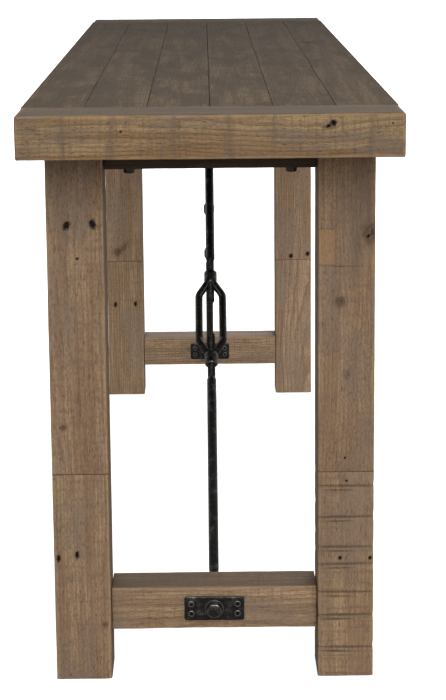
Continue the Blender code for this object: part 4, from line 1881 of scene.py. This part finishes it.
    def build_turnbuckle(self, name: str) -> Piece:
        """Models the turnbuckle about Z, its bars at both sides in Y.

        Args:
            name: the object's name.

        Returns:
            The turnbuckle.
        """
        radius, half, chamfer = self.collar_radius, self.buckle_half, 0.0011
        foot = half - self.collar_length
        collar = (
            (foot - 0.0015, radius * 0.72),
            (foot + 0.0010, radius * 0.93),
            (foot + 0.0045, radius),
            (half - chamfer, radius),
            (half, radius - chamfer),
        )
        turn_over = Matrix.Rotation(math.pi, 4, "X")
        buckle = turned(name, collar, steps=40)
        lower = place(turned("collar", collar, steps=40), turn_over)
        combine(buckle, "UNION", self.bar(1), self.bar(-1), lower)
        fuse(buckle, 4)
        rough_surface(buckle, 0.00025, 0.008, detail=1)
        bell = 0.0024
        bore = (
            (self.thread_end, BOLT_BORE),
            (half - bell, BOLT_BORE),
            (half + 0.0004, BOLT_BORE + bell),
        )
        for way in (Matrix(), turn_over):
            combine(buckle, "DIFFERENCE", place(turned("drill", bore), way))
        # The collar rims and the shoulder ridges get painted highlights.
        return mark_wear_and_highlight(buckle, self.highlight_and_wear)

    def highlight_and_wear(self, point: Vector) -> float:
        """How much painted highlight a point of the turnbuckle gets: the rims of its collars and
        the ridges of its shoulders, which catch the light.

        Args:
            point: the point, the turnbuckle standing about Z.

        Returns:
            The share, 0 to 1.
        """
        height = abs(point.z)
        if height > self.buckle_half - 0.0013:
            return 0.8 if math.hypot(point.x, point.y) > BOLT_BORE + 0.0012 else 0.0
        root = self.buckle_half - self.collar_length
        if not self.elbow_half - 0.004 < height < root + 0.001:
            return 0.0
        share = (height - self.elbow_half) / (root + self.bar_radius - self.elbow_half)
        middle = self.bar_offset + (self.bar_root - self.bar_offset) * share
        angle = math.degrees(math.atan2(abs(point.x), middle - abs(point.y)))
        ridge, ridge_spread = 52, 20
        return 0.9 * max(0.0, 1 - abs(angle - ridge) / ridge_spread)


# ---------------------------------------------------------------- studio


@dataclass
class Studio:
    """The pale floor, the soft lights and the camera."""

    floor_size: float = 90.0
    floor_colour: str = "#fafafa"
    floor_glow: float = 0.70  # keeps the floor white where the light falls off
    bounce_colour: str = "#9a9692"
    ceiling: float = 0.20  # brightness of the studio round the table
    backdrop: float = 1.25  # brightness of the white wall behind it
    key: tuple[float, float, float] = (6.0, 27.0, 2.9)  # side and height in degrees, strength
    fill: tuple[float, float, float] = (160.0, 40.0, 0.9)
    light_spread: float = 50.0  # in degrees
    camera_place: tuple[float, float, float] = (3.13904, -0.00716, 1.05338)
    look_down: float = 9.930  # in degrees, as the next two
    look_right: float = 0.558
    roll: float = -0.476
    lens: float = 95.013
    sensor: float = 36.0
    rise: float = -0.19  # lens shift, which sets the table higher in the frame

    def build(self) -> None:
        """Sets up the whole studio."""
        self.build_floors()
        self.build_surround()
        self.add_wide_light("key_light", *self.key)
        self.add_wide_light("fill_light", *self.fill)
        self.build_camera()
        bpy.context.scene.view_settings.view_transform = "Standard"

    def build_floors(self) -> None:
        """Lays the white floor that shows, and a duller one under it that throws light back up."""
        shown = self.build_floor("studio_floor", 0.0, self.floor_colour, self.floor_glow)
        shown.visible_diffuse = False
        shown.visible_glossy = False
        shown.visible_shadow = False
        hidden = self.build_floor("bounce_floor", -0.002, self.bounce_colour, 0.0)
        hidden.visible_camera = False

    def build_floor(self, name: str, height: float, colour: str, glow: float) -> Piece:
        """Lays one matt floor.

        Args:
            name: its name.
            height: how high it lies.
            colour: its paint.
            glow: light of its own.

        Returns:
            The floor.
        """
        bpy.ops.object.select_all(action="DESELECT")
        bpy.ops.mesh.primitive_plane_add(size=self.floor_size, location=(0, 0, height))
        floor = new_primitive(name)
        material, tree = new_material(f"matt_paint_{name}")
        shader = add_node(tree, "BsdfPrincipled", {
            "Base Color": linear_rgb(colour), "Roughness": 0.9, "Specular IOR Level": 0.0,
            "Emission Color": (1, 1, 1, 1), "Emission Strength": glow,
        })
        add_node(tree, "OutputMaterial", {"Surface": shader})
        floor.data.materials.append(material)
        return floor

    def build_surround(self) -> None:
        """Lights the scene softly from all round, and most from the white wall at the back."""
        world = bpy.data.worlds.new("white_studio")
        bpy.context.scene.world = world
        world.use_nodes = True
        tree = world.node_tree
        tree.nodes.clear()
        direction = add_node(tree, "TexCoord").outputs["Generated"]
        along = add_node(tree, "SeparateXYZ", [direction]).outputs[0]
        wall = add_node(
            tree, "MapRange", [along, 0.1, -0.8, self.ceiling, self.backdrop],
            interpolation_type="SMOOTHSTEP",
        )
        light = add_node(tree, "Background", {"Color": (1.0, 1.0, 1.0, 1.0), "Strength": wall})
        add_node(tree, "OutputWorld", {"Surface": light})

    def add_wide_light(self, name: str, side: float, height: float, strength: float) -> None:
        """Adds an even light from one side, as wide as a big softbox.

        Args:
            name: its name.
            side: the way it comes from, in degrees round from the front end.
            height: how high it stands, in degrees.
            strength: in watts per square metre.
        """
        data = bpy.data.lights.new(name, "SUN")
        data.energy = strength
        data.angle = math.radians(self.light_spread)
        light = bpy.data.objects.new(name, data)
        bpy.context.scene.collection.objects.link(light)
        turn, rise = math.radians(side), math.radians(height)
        level = math.cos(rise)
        at = Vector((level * math.cos(turn), level * math.sin(turn), math.sin(rise)))
        light.location = at * 4
        light.rotation_euler = at.to_track_quat("Z", "Y").to_euler()

    def build_camera(self) -> None:
        """Puts up the camera in front of the table's front end."""
        data = bpy.data.cameras.new("camera")
        data.lens = self.lens
        data.sensor_width = self.sensor
        data.shift_y = self.rise
        data.clip_end = 200.0
        camera = bpy.data.objects.new("camera", data)
        bpy.context.scene.collection.objects.link(camera)
        down, turn, roll = map(math.radians, (self.look_down, self.look_right, self.roll))
        forward = Vector(
            (-math.cos(turn) * math.cos(down), math.sin(turn) * math.cos(down), -math.sin(down))
        )
        level = Vector((math.sin(turn), math.cos(turn), 0))
        upright = level.cross(forward)
        right = math.cos(roll) * level + math.sin(roll) * upright
        up = -math.sin(roll) * level + math.cos(roll) * upright
        matrix = Matrix((right, up, -forward)).transposed().to_4x4()
        camera.matrix_world = Matrix.Translation(self.camera_place) @ matrix
        bpy.context.scene.camera = camera


# ---------------------------------------------------------------- table

# Lighter copies of the leg and cross finishes for the rear frame: painted light, because the top
# keeps much of the light from the front off the rear frame.
REAR_LEG_PAINTED_LIGHTER = WeatheredPine(
    "brushed_pine_painted_lighter", pale="#bd9f80", tan="#a68867", late="#66503c", grey="#917e6d"
)
REAR_CROSS_PAINTED_LIGHTER = WeatheredPine(
    "sawn_pine_painted_lighter", pale="#bb9d7b", tan="#a38566", late="#5f4934", grey="#8a7664",
    upward_shade="#6a5c4d", upward_shade_strength=0.45, saw_pitch=0.0045, saw_strength=0.50,
)
SAW_BANDS = (0.2705, 0.2271, 0.1849, 0.1608, 0.1210, 0.0882, 0.0422)
LEG_MARKS = {
    "leg_front_left_upper": (
        Mark(Trace.NAIL_HOLE, (-0.1884, 0.6286), 0.0038, length=1.6, lean=24),
        Mark(Trace.NAIL_HOLE, (-0.1545, 0.6303), 0.0038, length=1.6, lean=-20),
        Mark(Trace.PIN_HOLE, (-0.1753, 0.5842), 0.0017),
        Mark(Trace.KNOT, (-0.1989, 0.3554), 0.0040),
    ),
    "leg_front_left_lower": (
        Mark(Trace.NAIL_HOLE, (-0.2091, 0.1733), 0.0024, length=2.1),
        Mark(Trace.NAIL_HOLE, (-0.1841, 0.1781), 0.0024, length=2.1),
        Mark(Trace.KNOT, (-0.1485, 0.0781), 0.0035),
    ),
    "leg_front_right_upper": (
        Mark(Trace.STREAK, (0.1920, 0.6400), 0.0330, length=1.9),
        Mark(Trace.STREAK, (0.1830, 0.5720), 0.0150, length=3.0, lean=24),
        Mark(Trace.KNOT, (0.2100, 0.6150), 0.0100, length=1.3),
        Mark(Trace.LOST_KNOT, (0.2060, 0.6105), 0.0018, length=1.8, lean=30),
        Mark(Trace.KNOT, (0.1700, 0.5235), 0.0062, length=1.1),
        Mark(Trace.SMUDGE, (0.1787, 0.4251), 0.0060, length=1.5),
        Mark(Trace.PATCH, (0.1516, 0.5964), 0.0105, length=2.24),
        Mark(Trace.SAW_CUT, (0.1740, 0.5705), 0.0009, length=26.0, lean=90),
        Mark(Trace.PIN_HOLE, (0.1762, 0.3095), 0.0015),
    ),
    "leg_front_right_lower": (
        Mark(Trace.PIN_HOLE, (0.1788, 0.2775), 0.0015),
        Mark(Trace.NAIL_HOLE, (0.1701, 0.1694), 0.0022, length=1.2),
        Mark(Trace.NAIL_HOLE, (0.2107, 0.1689), 0.0022, length=1.2),
        *(
            Mark(Trace.SAW_CUT, (0.178 + shift, height - drop), 0.0021 - 0.1 * drop, length,
                 lean=90 - i % 2)
            for i, height in enumerate(SAW_BANDS)
            for drop, shift, length in ((0.0, 0.002, 27.0), (0.0060, -0.010, 15.0))
        ),
    ),
    "leg_rear_left_upper": (
        Mark(Trace.KNOT, (-0.1918, 0.3109), 0.0075, length=1.1),
        Mark(Trace.SMUDGE, (-0.1790, 0.3220), 0.0080, length=2.2, lean=35),
    ),
    "leg_rear_left_lower": (
        Mark(Trace.NAIL_HOLE, (-0.1989, 0.1972), 0.0028, length=1.8),
        Mark(Trace.NAIL_HOLE, (-0.1567, 0.1985), 0.0028, length=1.8),
    ),
    "leg_rear_right_upper": (
        Mark(Trace.NAIL_HOLE, (0.1729, 0.2985), 0.0036, length=1.2),
        Mark(Trace.NAIL_HOLE, (0.2083, 0.3030), 0.0036, length=1.2),
    ),
}


def main() -> None:
    """Builds the studio and the table, piece by piece."""
    logging.basicConfig(level=logging.INFO, format="%(name)s %(message)s")
    Studio().build()
    TableTop().build()
    end_frames = {
        "front": EndFrame("front", 1, marks=LEG_MARKS,
                          saw_bands={"leg_front_right_lower": SAW_BANDS}),
        "rear": EndFrame("rear", -1, REAR_LEG_PAINTED_LIGHTER, REAR_CROSS_PAINTED_LIGHTER, marks=LEG_MARKS),
    }
    for end, sign in ENDS:
        end_frames[end].build()
        Anchor(end, sign).build()
        TieRod(end, quarter_turn=0.0 if sign > 0 else math.pi / 2).build()
    TopBracket().build()


if __name__ == "__main__":
    main()
